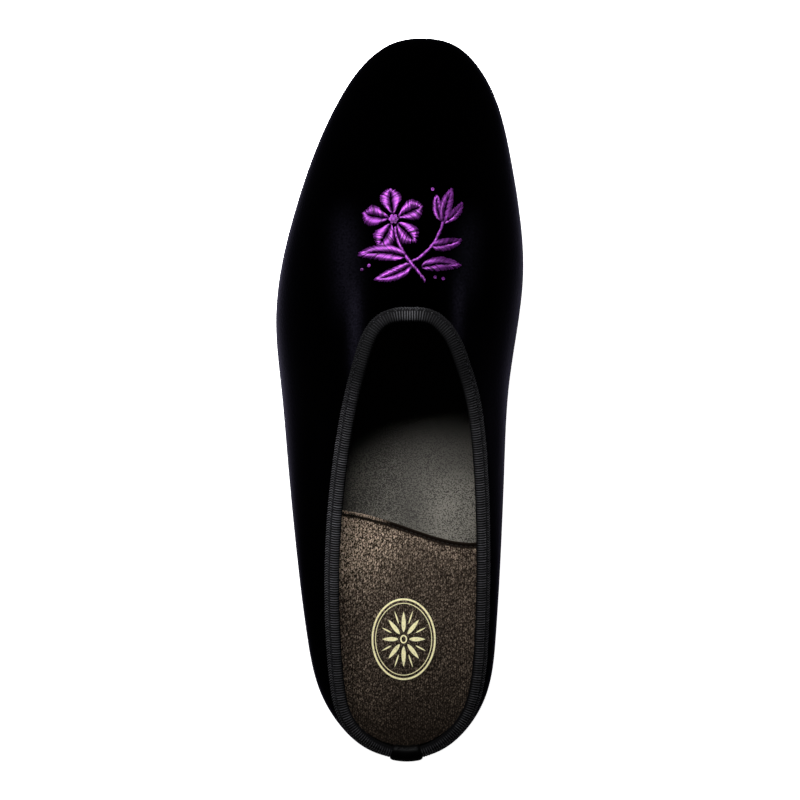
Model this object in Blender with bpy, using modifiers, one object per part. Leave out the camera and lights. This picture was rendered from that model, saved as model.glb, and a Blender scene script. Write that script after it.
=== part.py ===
"""Low-backed velvet mule for the left foot, modelled piece by piece as a shoemaker assembles it.

Pieces: outsole, heel, insole, heel_pad, upper, collar_binding and heel_tab.
Frame: metres, +Z up, +Y to the toe, +X to the inner (medial) side of the foot.
The origin is on the floor, under the middle of the shoe's box.
"""

import math

import bmesh
import bpy
import numpy as np

MM = 0.001
DEGREE = math.pi / 180

# Driving dimensions
LENGTH = 290 * MM
GAP = 0.3 * MM
WALL = 1.8 * MM
OUTSOLE_THICK = 4.5 * MM
OUTSOLE_ROUND = 0.7 * MM
HEEL_HEIGHT = 13.5 * MM
HEEL_INSET = 0.8 * MM
HEEL_TAPER = 1.6 * MM
HEEL_ROUND = 0.6 * MM
BREAST_HOLLOW = 4 * MM
INSOLE_THICK = 2.5 * MM
INSOLE_INSET = 1.9 * MM
INSOLE_FOOT_INSET = 3.6 * MM
PAD_THICK = 1.2 * MM
PAD_INSET = 1.2 * MM
PAD_ROUND = 0.4 * MM
FEATHER_INSET = 1 * MM
RIBBON_THICK = 0.6 * MM
RIBBON_LEG = 4 * MM
TAB_WIDTH = 12.5 * MM
TAB_THICK = 0.8 * MM
TAB_OUTER_LEG = 5.2 * MM
TAB_INNER_LEG = 5 * MM
FOLD_DEPTH = 0.2 * MM

# Stations are measured forward from the back of the shoe
HEEL_SEAT_END = 64 * MM
BREAST_STATION = 61 * MM
BALL_FLAT_START = 162 * MM
BALL_FLAT_END = 208 * MM
TOE_SPRING = 8 * MM
TOE_SPRING_POWER = 1.8

# The next three tables share their rows: each row is one section of the wall, from the back to the toe

# Widest line of the upper in mm: station, outer side, inner side, rise over the sole's top
OUTLINE = (
    (1.7, 2.6, 2.6, 8.5),
    (5.3, -12.6, 17.2, 8.5),
    (14.0, -23.0, 27.2, 8.8),
    (28.0, -31.6, 34.9, 9.0),
    (50.0, -36.9, 38.4, 9.2),
    (85.0, -41.3, 40.5, 10.2),
    (122.0, -45.0, 42.1, 12.2),
    (150.0, -47.6, 43.8, 13.6),
    (175.0, -49.7, 47.5, 14.0),
    (197.0, -47.8, 49.7, 14.0),
    (220.0, -42.3, 48.2, 13.6),
    (245.0, -33.9, 44.1, 12.4),
    (267.0, -23.4, 38.1, 10.6),
    (280.0, -14.0, 30.5, 9.4),
    (287.5, -4.0, 21.6, 8.8),
    (290.0, 8.8, 8.8, 8.6),
)

# Edge of the outsole in mm: station, outer side, inner side
SOLE = (
    (4.8, 2.6, 2.6),
    (8.0, -10.4, 15.0),
    (16.0, -20.6, 24.6),
    (29.0, -28.6, 31.6),
    (50.0, -33.6, 35.0),
    (85.0, -37.0, 35.0),
    (122.0, -39.8, 35.0),
    (150.0, -42.9, 38.6),
    (175.0, -45.3, 44.0),
    (197.0, -43.6, 46.2),
    (219.0, -38.5, 44.8),
    (243.5, -30.3, 40.7),
    (264.5, -20.2, 34.6),
    (276.5, -11.4, 27.4),
    (283.6, -2.2, 19.4),
    (286.2, 8.8, 8.8),
)

# Edge of the foot opening, back to throat, in mm and degrees: station, outer side, inner side, height,
# slope of the wall there on the outer and on the inner side
COLLAR = (
    (3.9, 2.8, 2.8, 36.0, 80, 80),
    (8.4, -11.7, 16.3, 36.1, 78, 78),
    (17.0, -20.1, 25.1, 36.4, 56, 70),
    (30.0, -23.9, 30.1, 37.0, 46, 62),
    (51.0, -25.6, 32.1, 38.8, 40, 57),
    (85.5, -25.7, 32.7, 44.0, 38, 56),
    (120.0, -22.6, 31.3, 50.8, 36, 50),
    (141.0, -19.1, 28.9, 55.4, 33, 42),
    (154.0, -16.0, 25.6, 57.8, 31, 37),
    (163.4, -13.3, 22.3, 59.1, 30, 34),
    (169.2, -11.1, 19.5, 59.7, 29, 32),
    (172.9, -8.6, 16.5, 60.0, 27, 29),
    (175.6, -5.3, 13.2, 60.0, 25, 26),
    (176.8, -1.9, 9.9, 60.0, 24, 24),
    (177.2, 1.0, 7.0, 60.0, 24, 24),
    (177.2, 4.0, 4.0, 60.0, 24, 24),
)

# Front edge of the heel pad, outer to inner side, in mm: share of the insole's width, station
PAD_FRONT = (
    (0.0, 101.3),
    (0.25, 99.9),
    (0.5, 95.2),
    (0.75, 89.5),
    (1.0, 88.0),
)

# Fullness of the wall's curves, as shares of their height or span: below the widest line, then above it
# at the sides and at the toe
FOOT_FLARE = 0.65
FOOT_LIFT = 0.12
FOOT_UPRIGHT = 0.5
SIDE_UPRIGHT = 0.55
SIDE_REACH = 0.44
SIDE_END = 150 * MM
TOE_UPRIGHT = 0.20
TOE_REACH = 0.50

# Mesh steps, and how far they close up where the shape turns fast
GIRTH_STEPS = 44
RIBBON_STEPS = 36
FOOT_STEPS = 3
CROWN_STEPS = 12
SLAB_COLUMNS = 4
HEEL_STEPS = 14
PAD_STEPS = 18
FOLD_STEPS = 4
TAB_STEPS = 4
LEG_SHARES = (1, 0.6, 0.25)
CROWDING = 0.5
REAR_CROWDING = 1.4
FRONT_PULL = 6
DENSE_STEPS = 400
LENGTH_SAMPLES = 33
SMALL_STEP = 0.2 * MM
SHARE_STEP = 0.001
WELD = 1e-6

# Finishes: colour in linear RGB, roughness
VELVET = ((0.004, 0.004, 0.006), 0.9)
GROSGRAIN = ((0.012, 0.012, 0.014), 0.6)
TAB_LEATHER = ((0.006, 0.006, 0.007), 0.3)
SOCK_LEATHER = ((0.09, 0.09, 0.08), 0.5)
PAD_LEATHER = ((0.07, 0.045, 0.028), 0.45)
SOLE_LEATHER = ((0.012, 0.010, 0.009), 0.5)
SHARP_ANGLE = 40 * DEGREE


def ease(share):
    """Soft step from 0 to 1."""
    share = min(max(share, 0), 1)
    return share * share * (3 - 2 * share)


def side_points(rows, outer_columns, inner_columns, units):
    """Outer and inner side of a table, as points that start with x and y."""
    table = np.array(rows, float)
    sides = [table[:, columns] * units for columns in (outer_columns, inner_columns)]
    for side in sides:
        side[:, 1] -= LENGTH / 2
    return sides


def girth_knots(sides):
    """Distance along the widest line at each row, as the mean of both sides."""
    steps = [np.linalg.norm(np.diff(side[:, :2], axis=0), axis=1) for side in sides]
    return np.concatenate(([0], np.cumsum(np.mean(steps, axis=0))))


def closed_loop(knots, sides):
    """Smooth loop from the back along the outer side to the toe and home along the inner side."""
    outer, inner = sides
    knots = np.concatenate((knots, 2 * knots[-1] - knots[-2::-1]))
    points = np.concatenate((outer, inner[-2::-1]))
    gaps = np.diff(knots)
    rates = np.diff(points, axis=0) / gaps[:, None]
    matrix = np.eye(len(points))
    matrix[0, [0, 1, -2]] = 2 * (gaps[0] + gaps[-1]), gaps[-1], gaps[0]
    matrix[-1, 0] = -1
    right = np.zeros_like(points)
    right[0] = 3 * (gaps[0] * rates[-1] + gaps[-1] * rates[0])
    for i in range(1, len(points) - 1):
        matrix[i, i - 1:i + 2] = gaps[i], 2 * (gaps[i - 1] + gaps[i]), gaps[i - 1]
        right[i] = 3 * (gaps[i] * rates[i - 1] + gaps[i - 1] * rates[i])
    slopes = np.linalg.solve(matrix, right)

    def at(girth):
        t = girth % knots[-1]
        i = int(np.clip(np.searchsorted(knots, t, side="right") - 1, 0, len(gaps) - 1))
        f = (t - knots[i]) / gaps[i]
        start = f * (1 - f) ** 2 * gaps[i]
        end = f * f * (f - 1) * gaps[i]
        return points[i] + (points[i + 1] - points[i]) * ease(f) + slopes[i] * start + slopes[i + 1] * end

    return at


# Girth is the way round the shoe from the back: above zero on the outer side, below on the inner side
OUTLINE_SIDES = side_points(OUTLINE, [1, 0, 3], [2, 0, 3], [MM, MM, MM])
KNOTS = girth_knots(OUTLINE_SIDES)
TOE = KNOTS[-1]
outline_at = closed_loop(KNOTS, OUTLINE_SIDES)
sole_at = closed_loop(KNOTS, side_points(SOLE, [1, 0], [2, 0], [MM, MM]))
collar_at = closed_loop(KNOTS, side_points(COLLAR, [1, 0, 3, 4], [2, 0, 3, 5], [MM, MM, MM, DEGREE]))


def bed(y):
    """Height of the outsole's top: level at the heel seat and the ball, with shank and toe spring."""
    station = y + LENGTH / 2
    climb = ease((BALL_FLAT_START - station) / (BALL_FLAT_START - HEEL_SEAT_END))
    ahead = max(0, station - BALL_FLAT_END) / (LENGTH - BALL_FLAT_END)
    return OUTSOLE_THICK + (HEEL_HEIGHT + GAP) * climb + TOE_SPRING * ahead ** TOE_SPRING_POWER


def sole_edge(girth, inset):
    """Point (x, y) of the outsole's edge, moved inwards."""
    along = sole_at(girth + SMALL_STEP) - sole_at(girth - SMALL_STEP)
    inwards = np.array((along[1], -along[0])) / np.linalg.norm(along)
    return sole_at(girth) + inwards * inset


def foot_curve(girth):
    """Control points of the wall from the feather edge, on the sole, up to the widest line."""
    x, y = sole_edge(girth, FEATHER_INSET)
    foot = np.array((x, y, bed(y) + GAP))
    x, y, rise = outline_at(girth)
    wide = np.array((x, y, bed(y) + rise))
    flare = (wide - foot) * (FOOT_FLARE, FOOT_FLARE, FOOT_LIFT)
    drop = (wide - foot) * (0, 0, FOOT_UPRIGHT)
    return foot, foot + flare, wide - drop, wide


def crown_curve(girth):
    """Control points of the wall from the widest line up to the edge of the foot opening."""
    wide = foot_curve(girth)[-1]
    *top, slope = collar_at(girth)
    forward = ease((wide[1] + LENGTH / 2 - SIDE_END) / (LENGTH - SIDE_END))
    upright = SIDE_UPRIGHT + (TOE_UPRIGHT - SIDE_UPRIGHT) * forward
    reach = (SIDE_REACH + (TOE_REACH - SIDE_REACH) * forward) * np.linalg.norm(wide - top)
    outwards = (wide - top) * (1, 1, 0)
    outwards /= np.linalg.norm(outwards)
    lean = outwards * math.cos(slope) - np.array((0, 0, math.sin(slope)))
    rise = (top - wide) * (0, 0, upright)
    return wide, wide + rise, top + lean * reach, np.array(top)


def on_curve(controls, share):
    """Point of a cubic curve."""
    a, b, c, d = controls
    rest = 1 - share
    return a * rest ** 3 + 3 * b * rest * rest * share + 3 * c * rest * share * share + d * share ** 3


def unit(vector):
    """Vector of length one."""
    return vector / np.linalg.norm(vector)


def skin(girth, depth, lift):
    """Point that lies depth below the foot opening's edge, square to it, and lift outside the wall."""
    controls = crown_curve(girth)
    edge = collar_at(girth + SMALL_STEP)[:3] - collar_at(girth - SMALL_STEP)[:3]
    speed = np.linalg.norm(edge) / (2 * SMALL_STEP)
    drift = unit(controls[2] - controls[3]) @ unit(edge)
    square = math.sqrt(1 - drift * drift)
    inside = max(depth, 0) / square
    girth -= inside * drift / speed
    controls = crown_curve(girth)
    shares = np.linspace(1, 0, LENGTH_SAMPLES)
    points = np.array([on_curve(controls, share) for share in shares])
    lengths = np.concatenate(([0], np.cumsum(np.linalg.norm(np.diff(points, axis=0), axis=1))))
    share = np.interp(inside, lengths, shares)
    here = on_curve(controls, share)
    down = unit(on_curve(controls, share - SHARE_STEP) - here)
    before, after = crown_curve(girth - SMALL_STEP), crown_curve(girth + SMALL_STEP)
    along = unit(on_curve(after, share) - on_curve(before, share))
    out = unit(np.cross(along, down))
    return here + np.cross(out, along) * min(depth, 0) + out * lift


def crowded(count):
    """Even shares from 0 to 1, drawn together at both ends."""
    even = np.linspace(0, 1, count + 1)
    return even - CROWDING * np.sin(2 * math.pi * even) / (2 * math.pi)


def round_girths(count):
    """Girths of the wall's sections, from the toe along the inner side to the back and on to the toe."""
    half = TOE * crowded(count)
    return np.concatenate((-half[:0:-1], half))


def wall_sheet():
    """Outer face of the upper: a grid of sections, each from the feather edge to the foot opening."""
    sheet = []
    for girth in round_girths(GIRTH_STEPS):
        foot, crown = foot_curve(girth), crown_curve(girth)
        section = [on_curve(foot, share) for share in np.linspace(0, 1, FOOT_STEPS + 1)[:-1]]
        section += [on_curve(crown, share) for share in crowded(CROWN_STEPS)]
        sheet.append(section)
    return np.array(sheet)


def fold_profile(outer_leg, inner_leg, clear):
    """Depths and lifts across a strip folded over the wall's edge, its middle clear of the wall's faces."""
    radius = WALL / 2 + clear
    profile = [(outer_leg * share, clear) for share in LEG_SHARES]
    for angle in np.linspace(0, math.pi, FOLD_STEPS + 1):
        profile.append((FOLD_DEPTH - radius * math.sin(angle), radius * math.cos(angle) - WALL / 2))
    return profile + [(inner_leg * share, -WALL - clear) for share in reversed(LEG_SHARES)]


def folded_sheet(girths, profile):
    """Middle face of a strip folded over the foot opening's edge."""
    return np.array([[skin(girth, depth, lift) for depth, lift in profile] for girth in girths])


def slab_level(girths, inset, height, front=None):
    """Grid across the shoe inside the sole's edge; front gives the last row's station for a share of width."""
    shares = np.linspace(0, 1, SLAB_COLUMNS + 1)
    level = []
    for girth in girths:
        outer, inner = sole_edge(girth, inset), sole_edge(-girth, inset)
        level.append([outer + (inner - outer) * share for share in shares])
    level = np.array(level)
    if front:
        pull = np.linspace(0, 1, len(girths)) ** FRONT_PULL
        ends = np.array([front(share) - LENGTH / 2 for share in shares])
        level[:, :, 1] += pull[:, None] * (ends - level[-1, :, 1])
    return np.dstack((level, np.vectorize(height)(level[:, :, 1])))


def slab_sheets(levels):
    """Top, bottom and side faces of a slab, from grids that run from its top to its bottom."""
    sides = [np.concatenate((level[:, 0], level[-1, 1:-1], level[::-1, -1])) for level in levels]
    return [levels[0], levels[-1], np.array(sides)]


def rear_girths(station, count):
    """Girths on one side for a piece that ends at a station, drawn together at the back."""
    dense = np.linspace(0, TOE, DENSE_STEPS)
    end = np.interp(station - LENGTH / 2, [sole_at(girth)[1] for girth in dense], dense)
    return end * np.linspace(0, 1, count + 1) ** REAR_CROWDING


def sole_bottom(y):
    """Height of the outsole's underside."""
    return bed(y) - OUTSOLE_THICK


def insole_top(y):
    """Height of the insole's top."""
    return bed(y) + GAP + INSOLE_THICK


def pad_top(y):
    """Height of the heel pad's top."""
    return insole_top(y) + GAP + PAD_THICK


def finish(name, colour, roughness):
    """Material of a piece."""
    material = bpy.data.materials.new(name)
    material.use_nodes = True
    shader = material.node_tree.nodes["Principled BSDF"]
    shader.inputs["Base Color"].default_value = (*colour, 1)
    shader.inputs["Roughness"].default_value = roughness
    return material


def add_piece(name, sheets, look, shoe):
    """Object made of grids of points, welded along the lines that they share."""
    work = bmesh.new()
    for sheet in sheets:
        rows = [[work.verts.new(point) for point in row] for row in sheet]
        for row, following in zip(rows, rows[1:]):
            for j in range(len(row) - 1):
                work.faces.new((row[j], row[j + 1], following[j + 1], following[j]))
    bmesh.ops.remove_doubles(work, verts=work.verts, dist=WELD)
    bmesh.ops.dissolve_degenerate(work, edges=work.edges, dist=WELD)
    if len(sheets) > 1:
        bmesh.ops.recalc_face_normals(work, faces=work.faces)
    mesh = bpy.data.meshes.new(name)
    work.to_mesh(mesh)
    work.free()
    mesh.shade_smooth()
    mesh.set_sharp_from_angle(angle=SHARP_ANGLE)
    mesh.materials.append(finish(name, *look))
    piece = bpy.data.objects.new(name, mesh)
    piece.parent = shoe
    shoe.users_collection[0].objects.link(piece)
    return piece


def thicken(piece, thickness, offset):
    """Give an open sheet its thickness: offset -1 puts it inside the sheet, 0 to both sides."""
    shell = piece.modifiers.new("thickness", "SOLIDIFY")
    shell.thickness = thickness
    shell.offset = offset


def add_outsole(shoe):
    """Leather sole with rounded edges, shank and toe spring."""
    girths = TOE * crowded(GIRTH_STEPS)
    levels = [
        slab_level(girths, OUTSOLE_ROUND, bed),
        slab_level(girths, 0, lambda y: bed(y) - OUTSOLE_ROUND),
        slab_level(girths, 0, lambda y: sole_bottom(y) + OUTSOLE_ROUND),
        slab_level(girths, OUTSOLE_ROUND, sole_bottom),
    ]
    add_piece("outsole", slab_sheets(levels), SOLE_LEATHER, shoe)


def add_heel(shoe):
    """Low heel block with a hollow breast."""
    def breast(share):
        return BREAST_STATION - BREAST_HOLLOW * (1 - (2 * share - 1) ** 2)

    girths = rear_girths(BREAST_STATION, HEEL_STEPS)
    foot_inset = HEEL_INSET + HEEL_TAPER
    levels = [
        slab_level(girths, HEEL_INSET, lambda y: HEEL_HEIGHT, breast),
        slab_level(girths, foot_inset, lambda y: HEEL_ROUND, breast),
        slab_level(girths, foot_inset + HEEL_ROUND, lambda y: 0, breast),
    ]
    add_piece("heel", slab_sheets(levels), SOLE_LEATHER, shoe)


def add_insole(shoe):
    """Full-length footbed inside the wall."""
    girths = TOE * crowded(GIRTH_STEPS)
    levels = [
        slab_level(girths, INSOLE_INSET, insole_top),
        slab_level(girths, INSOLE_FOOT_INSET, lambda y: bed(y) + GAP),
    ]
    add_piece("insole", slab_sheets(levels), SOCK_LEATHER, shoe)


def add_heel_pad(shoe):
    """Leather pad on the rear of the insole, with a waved front edge."""
    def pad_front(share):
        return np.interp(share, *np.array(PAD_FRONT).T) * MM

    girths = rear_girths(PAD_FRONT[-1][1] * MM, PAD_STEPS)
    levels = [
        slab_level(girths, PAD_INSET + PAD_ROUND, pad_top, pad_front),
        slab_level(girths, PAD_INSET, lambda y: pad_top(y) - PAD_ROUND, pad_front),
        slab_level(girths, PAD_INSET, lambda y: insole_top(y) + GAP, pad_front),
    ]
    add_piece("heel_pad", slab_sheets(levels), PAD_LEATHER, shoe)


def add_upper(shoe):
    """Velvet wall with its lining, open at the foot opening and underneath."""
    thicken(add_piece("upper", [wall_sheet()], VELVET, shoe), WALL, -1)


def add_collar_binding(shoe):
    """Ribbon folded over the whole edge of the foot opening."""
    profile = fold_profile(RIBBON_LEG, RIBBON_LEG, GAP + RIBBON_THICK / 2)
    ribbon = folded_sheet(round_girths(RIBBON_STEPS), profile)
    thicken(add_piece("collar_binding", [ribbon], GROSGRAIN, shoe), RIBBON_THICK, 0)


def add_heel_tab(shoe):
    """Leather tab folded over the ribbon's ends at the back."""
    clear = GAP + RIBBON_THICK + GAP + TAB_THICK / 2
    profile = fold_profile(TAB_OUTER_LEG, TAB_INNER_LEG, clear)
    girths = np.linspace(-TAB_WIDTH / 2, TAB_WIDTH / 2, TAB_STEPS + 1)
    thicken(add_piece("heel_tab", [folded_sheet(girths, profile)], TAB_LEATHER, shoe), TAB_THICK, 0)


def main():
    for old in list(bpy.data.objects):
        bpy.data.objects.remove(old)
    collection = bpy.data.collections.new("velvet_mule")
    bpy.context.scene.collection.children.link(collection)
    shoe = bpy.data.objects.new("velvet_mule_frame", None)
    collection.objects.link(shoe)
    add_outsole(shoe)
    add_heel(shoe)
    add_insole(shoe)
    add_heel_pad(shoe)
    add_upper(shoe)
    add_collar_binding(shoe)
    add_heel_tab(shoe)


main()
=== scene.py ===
"""Looks of a low-backed velvet mule, built piece by piece around its solids.

It loads the solids as a fixed frame, puts the finished velvet, ribbon, embroidery and leather in their place
and sets a plain studio. Frame: metres, +Z up, +Y to the toe, +X to the inner side of the left foot.
"""

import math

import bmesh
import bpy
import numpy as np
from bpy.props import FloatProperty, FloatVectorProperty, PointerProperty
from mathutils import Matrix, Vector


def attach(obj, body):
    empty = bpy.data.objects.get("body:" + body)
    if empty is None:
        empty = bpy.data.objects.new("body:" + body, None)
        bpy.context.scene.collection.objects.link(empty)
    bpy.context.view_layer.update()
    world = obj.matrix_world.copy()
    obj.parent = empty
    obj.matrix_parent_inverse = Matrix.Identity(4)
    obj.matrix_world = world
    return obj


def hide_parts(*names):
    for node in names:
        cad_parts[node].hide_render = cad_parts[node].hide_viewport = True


bl_info = {
    "name": "Velvet mule finisher",
    "version": (1, 0, 0),
    "blender": (4, 5, 0),
    "location": "View3D > Sidebar > Mule",
    "description": "Builds the velvet, ribbon, embroidery and leather of a mule around its solids",
    "category": "Object",
}

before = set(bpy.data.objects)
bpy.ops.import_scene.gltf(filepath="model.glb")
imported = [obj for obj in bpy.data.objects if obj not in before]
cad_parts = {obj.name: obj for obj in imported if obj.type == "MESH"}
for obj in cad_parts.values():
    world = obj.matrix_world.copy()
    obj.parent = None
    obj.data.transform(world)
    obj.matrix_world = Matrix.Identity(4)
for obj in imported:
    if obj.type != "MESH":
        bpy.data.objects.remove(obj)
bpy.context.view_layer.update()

MM = 0.001
DEGREE = math.pi / 180

# Sizes of the solids
LENGTH = 290 * MM
GAP = 0.3 * MM
WALL = 1.8 * MM
OUTSOLE_THICK = 4.5 * MM
OUTSOLE_ROUND = 0.7 * MM
HEEL_HEIGHT = 13.5 * MM
HEEL_INSET = 0.8 * MM
HEEL_TAPER = 1.6 * MM
HEEL_ROUND = 0.6 * MM
BREAST_HOLLOW = 4 * MM
INSOLE_THICK = 2.5 * MM
INSOLE_INSET = 1.9 * MM
INSOLE_FOOT_INSET = 3.6 * MM
PAD_THICK = 1.2 * MM
PAD_INSET = 1.2 * MM
PAD_ROUND = 0.4 * MM
FEATHER_INSET = 1 * MM
RIBBON_THICK = 0.6 * MM
RIBBON_LEG = 4 * MM
TAB_WIDTH = 12.5 * MM
TAB_THICK = 0.8 * MM
TAB_OUTER_LEG = 5.2 * MM
TAB_INNER_LEG = 5 * MM
FOLD_DEPTH = 0.2 * MM
HEEL_SEAT_END = 64 * MM
BREAST_STATION = 61 * MM
BALL_FLAT_START = 162 * MM
BALL_FLAT_END = 208 * MM
TOE_SPRING = 8 * MM
TOE_SPRING_POWER = 1.8

# Widest line of the upper in mm: station from the back, outer side, inner side, rise over the sole's top
OUTLINE = (
    (1.7, 2.6, 2.6, 8.5),
    (5.3, -12.6, 17.2, 8.5),
    (14.0, -23.0, 27.2, 8.8),
    (28.0, -31.6, 34.9, 9.0),
    (50.0, -36.9, 38.4, 9.2),
    (85.0, -41.3, 40.5, 10.2),
    (122.0, -45.0, 42.1, 12.2),
    (150.0, -47.6, 43.8, 13.6),
    (175.0, -49.7, 47.5, 14.0),
    (197.0, -47.8, 49.7, 14.0),
    (220.0, -42.3, 48.2, 13.6),
    (245.0, -33.9, 44.1, 12.4),
    (267.0, -23.4, 38.1, 10.6),
    (280.0, -14.0, 30.5, 9.4),
    (287.5, -4.0, 21.6, 8.8),
    (290.0, 8.8, 8.8, 8.6),
)

# Edge of the outsole in mm, with the same rows: station, outer side, inner side
SOLE = (
    (4.8, 2.6, 2.6),
    (8.0, -10.4, 15.0),
    (16.0, -20.6, 24.6),
    (29.0, -28.6, 31.6),
    (50.0, -33.6, 35.0),
    (85.0, -37.0, 35.0),
    (122.0, -39.8, 35.0),
    (150.0, -42.9, 38.6),
    (175.0, -45.3, 44.0),
    (197.0, -43.6, 46.2),
    (219.0, -38.5, 44.8),
    (243.5, -30.3, 40.7),
    (264.5, -20.2, 34.6),
    (276.5, -11.4, 27.4),
    (283.6, -2.2, 19.4),
    (286.2, 8.8, 8.8),
)

# Edge of the foot opening in mm and degrees, with the same rows: station, outer side, inner side, height,
# slope of the wall there on the outer and on the inner side
COLLAR = (
    (3.9, 2.8, 2.8, 36.0, 80, 80),
    (8.4, -11.7, 16.3, 36.1, 78, 78),
    (17.0, -20.1, 25.1, 36.4, 56, 70),
    (30.0, -23.9, 30.1, 37.0, 46, 62),
    (51.0, -25.6, 32.1, 38.8, 40, 57),
    (85.5, -25.7, 32.7, 44.0, 38, 56),
    (120.0, -22.6, 31.3, 50.8, 36, 50),
    (141.0, -19.1, 28.9, 55.4, 33, 42),
    (154.0, -16.0, 25.6, 57.8, 31, 37),
    (163.4, -13.3, 22.3, 59.1, 30, 34),
    (169.2, -11.1, 19.5, 59.7, 29, 32),
    (172.9, -8.6, 16.5, 60.0, 27, 29),
    (175.6, -5.3, 13.2, 60.0, 25, 26),
    (176.8, -1.9, 9.9, 60.0, 24, 24),
    (177.2, 1.0, 7.0, 60.0, 24, 24),
    (177.2, 4.0, 4.0, 60.0, 24, 24),
)

# Front edge of the heel pad, outer to inner side, in mm: share of the insole's width, station
PAD_FRONT = (
    (0.0, 101.3),
    (0.25, 99.9),
    (0.5, 95.2),
    (0.75, 89.5),
    (1.0, 88.0),
)

# Fullness of the wall's curves, as shares of their height or span
FOOT_FLARE = 0.65
FOOT_LIFT = 0.12
FOOT_UPRIGHT = 0.5
SIDE_UPRIGHT = 0.55
SIDE_REACH = 0.44
SIDE_END = 150 * MM
TOE_UPRIGHT = 0.20
TOE_REACH = 0.50

# Soft folds of the velvet in mm, ridges above zero and troughs below: start and end across and along the
# shoe, half width, height
CREASES = (
    (-17.5, 148, -19.0, 204, 4.5, 0.45),
    (-25.5, 158, -28.5, 206, 5.0, -0.35),
    (22.5, 166, 25.5, 204, 4.0, 0.40),
    (30.5, 160, 33.0, 200, 4.5, -0.30),
    (-36.0, 96, -33.0, 150, 4.0, -0.30),
    (37.5, 112, 37.0, 152, 3.0, -0.25),
    (-14.0, 236, 18.0, 243, 6.0, -0.20),
)

# Painted sheen: streaks where the velvet is lighter beside the throat, in mm: start and end across and along
# the shoe, half width, share
PAINTED_SHEEN_STREAKS = (
    (-17.0, 142, -18.0, 196, 2.6, 1.0),
    (-19.5, 168, -22.5, 228, 5.5, 0.5),
    (22.0, 158, 24.0, 198, 2.4, 0.7),
    (24.5, 176, 29.0, 226, 5.0, 0.35),
)
LINE_FADE = 0.4

# Mesh steps
WALL_STEPS = 190
CROWN_STEPS = 54
FOOT_STEPS = 14
SLAB_STEPS = 150
SLAB_COLUMNS = 20
CROWDING = 0.5
REAR_CROWDING = 1.4
FRONT_PULL = 6
DENSE_STEPS = 1600
LENGTH_SAMPLES = 33
EDGE_STEPS = 5
THREAD_SIDES = 6
THREAD_TIP_POWER = 8
STITCH_POINTS = 6
SMALL_STEP = 0.2 * MM
SHARE_STEP = 0.001
WELD = 1e-6
SHARP_ANGLE = 40 * DEGREE
SEED = 7


# Shape of the last


def ease(share):
    """Soft step from 0 to 1."""
    share = np.clip(share, 0, 1)
    return share * share * (3 - 2 * share)


def between(value, limits):
    """Soft step from 0 at the first limit to 1 at the second."""
    return ease((value - limits[0]) / (limits[1] - limits[0]))


def from_table(value, rows):
    """Value between the rows of a table, held at its ends."""
    return np.interp(value, *np.array(rows).T)


def unit(vectors):
    """Vectors of length one."""
    return vectors / np.linalg.norm(vectors, axis=-1, keepdims=True)


def directions(angle):
    """Vectors of length one in plan, at angles from the X axis."""
    return np.stack((np.cos(angle), np.sin(angle)), axis=-1)


def lengths_along(path):
    """Distance of each point of a path from its start."""
    return np.concatenate(([0], np.cumsum(np.linalg.norm(np.diff(path, axis=0), axis=1))))


def points_at(path, lengths, places):
    """Points of a path at places along it, where lengths are the places of its own points."""
    return np.stack([np.interp(places, lengths, column) for column in path.T], axis=1)


def side_points(rows, outer_columns, inner_columns, units):
    """Outer and inner side of a table, as points that start with x and y."""
    table = np.array(rows, float)
    sides = [table[:, columns] * units for columns in (outer_columns, inner_columns)]
    for side in sides:
        side[:, 1] -= LENGTH / 2
    return sides


def girth_knots(sides):
    """Distance along the widest line at each row, as the mean of both sides."""
    steps = [np.linalg.norm(np.diff(side[:, :2], axis=0), axis=1) for side in sides]
    return np.concatenate(([0], np.cumsum(np.mean(steps, axis=0))))


def closed_loop(knots, sides):
    """Smooth loop from the back along the outer side to the toe and home along the inner side."""
    outer, inner = sides
    knots = np.concatenate((knots, 2 * knots[-1] - knots[-2::-1]))
    points = np.concatenate((outer, inner[-2::-1]))
    gaps = np.diff(knots)
    rates = np.diff(points, axis=0) / gaps[:, None]
    matrix = np.eye(len(points))
    matrix[0, [0, 1, -2]] = 2 * (gaps[0] + gaps[-1]), gaps[-1], gaps[0]
    matrix[-1, 0] = -1
    right = np.zeros_like(points)
    right[0] = 3 * (gaps[0] * rates[-1] + gaps[-1] * rates[0])
    for i in range(1, len(points) - 1):
        matrix[i, i - 1:i + 2] = gaps[i], 2 * (gaps[i - 1] + gaps[i]), gaps[i - 1]
        right[i] = 3 * (gaps[i] * rates[i - 1] + gaps[i - 1] * rates[i])
    slopes = np.linalg.solve(matrix, right)

    def at(girth):
        t = np.mod(girth, knots[-1])
        i = np.clip(np.searchsorted(knots, t, side="right") - 1, 0, len(gaps) - 1)
        gap = gaps[i][..., None]
        f = (t - knots[i])[..., None] / gap
        bend = slopes[i] * f * (1 - f) ** 2 + slopes[i + 1] * f * f * (f - 1)
        return points[i] + (points[i + 1] - points[i]) * ease(f) + bend * gap

    return at


# Girth is the way round the shoe from the back: above zero on the outer side, below on the inner side
OUTLINE_SIDES = side_points(OUTLINE, [1, 0, 3], [2, 0, 3], [MM, MM, MM])
KNOTS = girth_knots(OUTLINE_SIDES)
TOE = KNOTS[-1]
outline_at = closed_loop(KNOTS, OUTLINE_SIDES)
sole_at = closed_loop(KNOTS, side_points(SOLE, [1, 0], [2, 0], [MM, MM]))
collar_at = closed_loop(KNOTS, side_points(COLLAR, [1, 0, 3, 4], [2, 0, 3, 5], [MM, MM, MM, DEGREE]))


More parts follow.
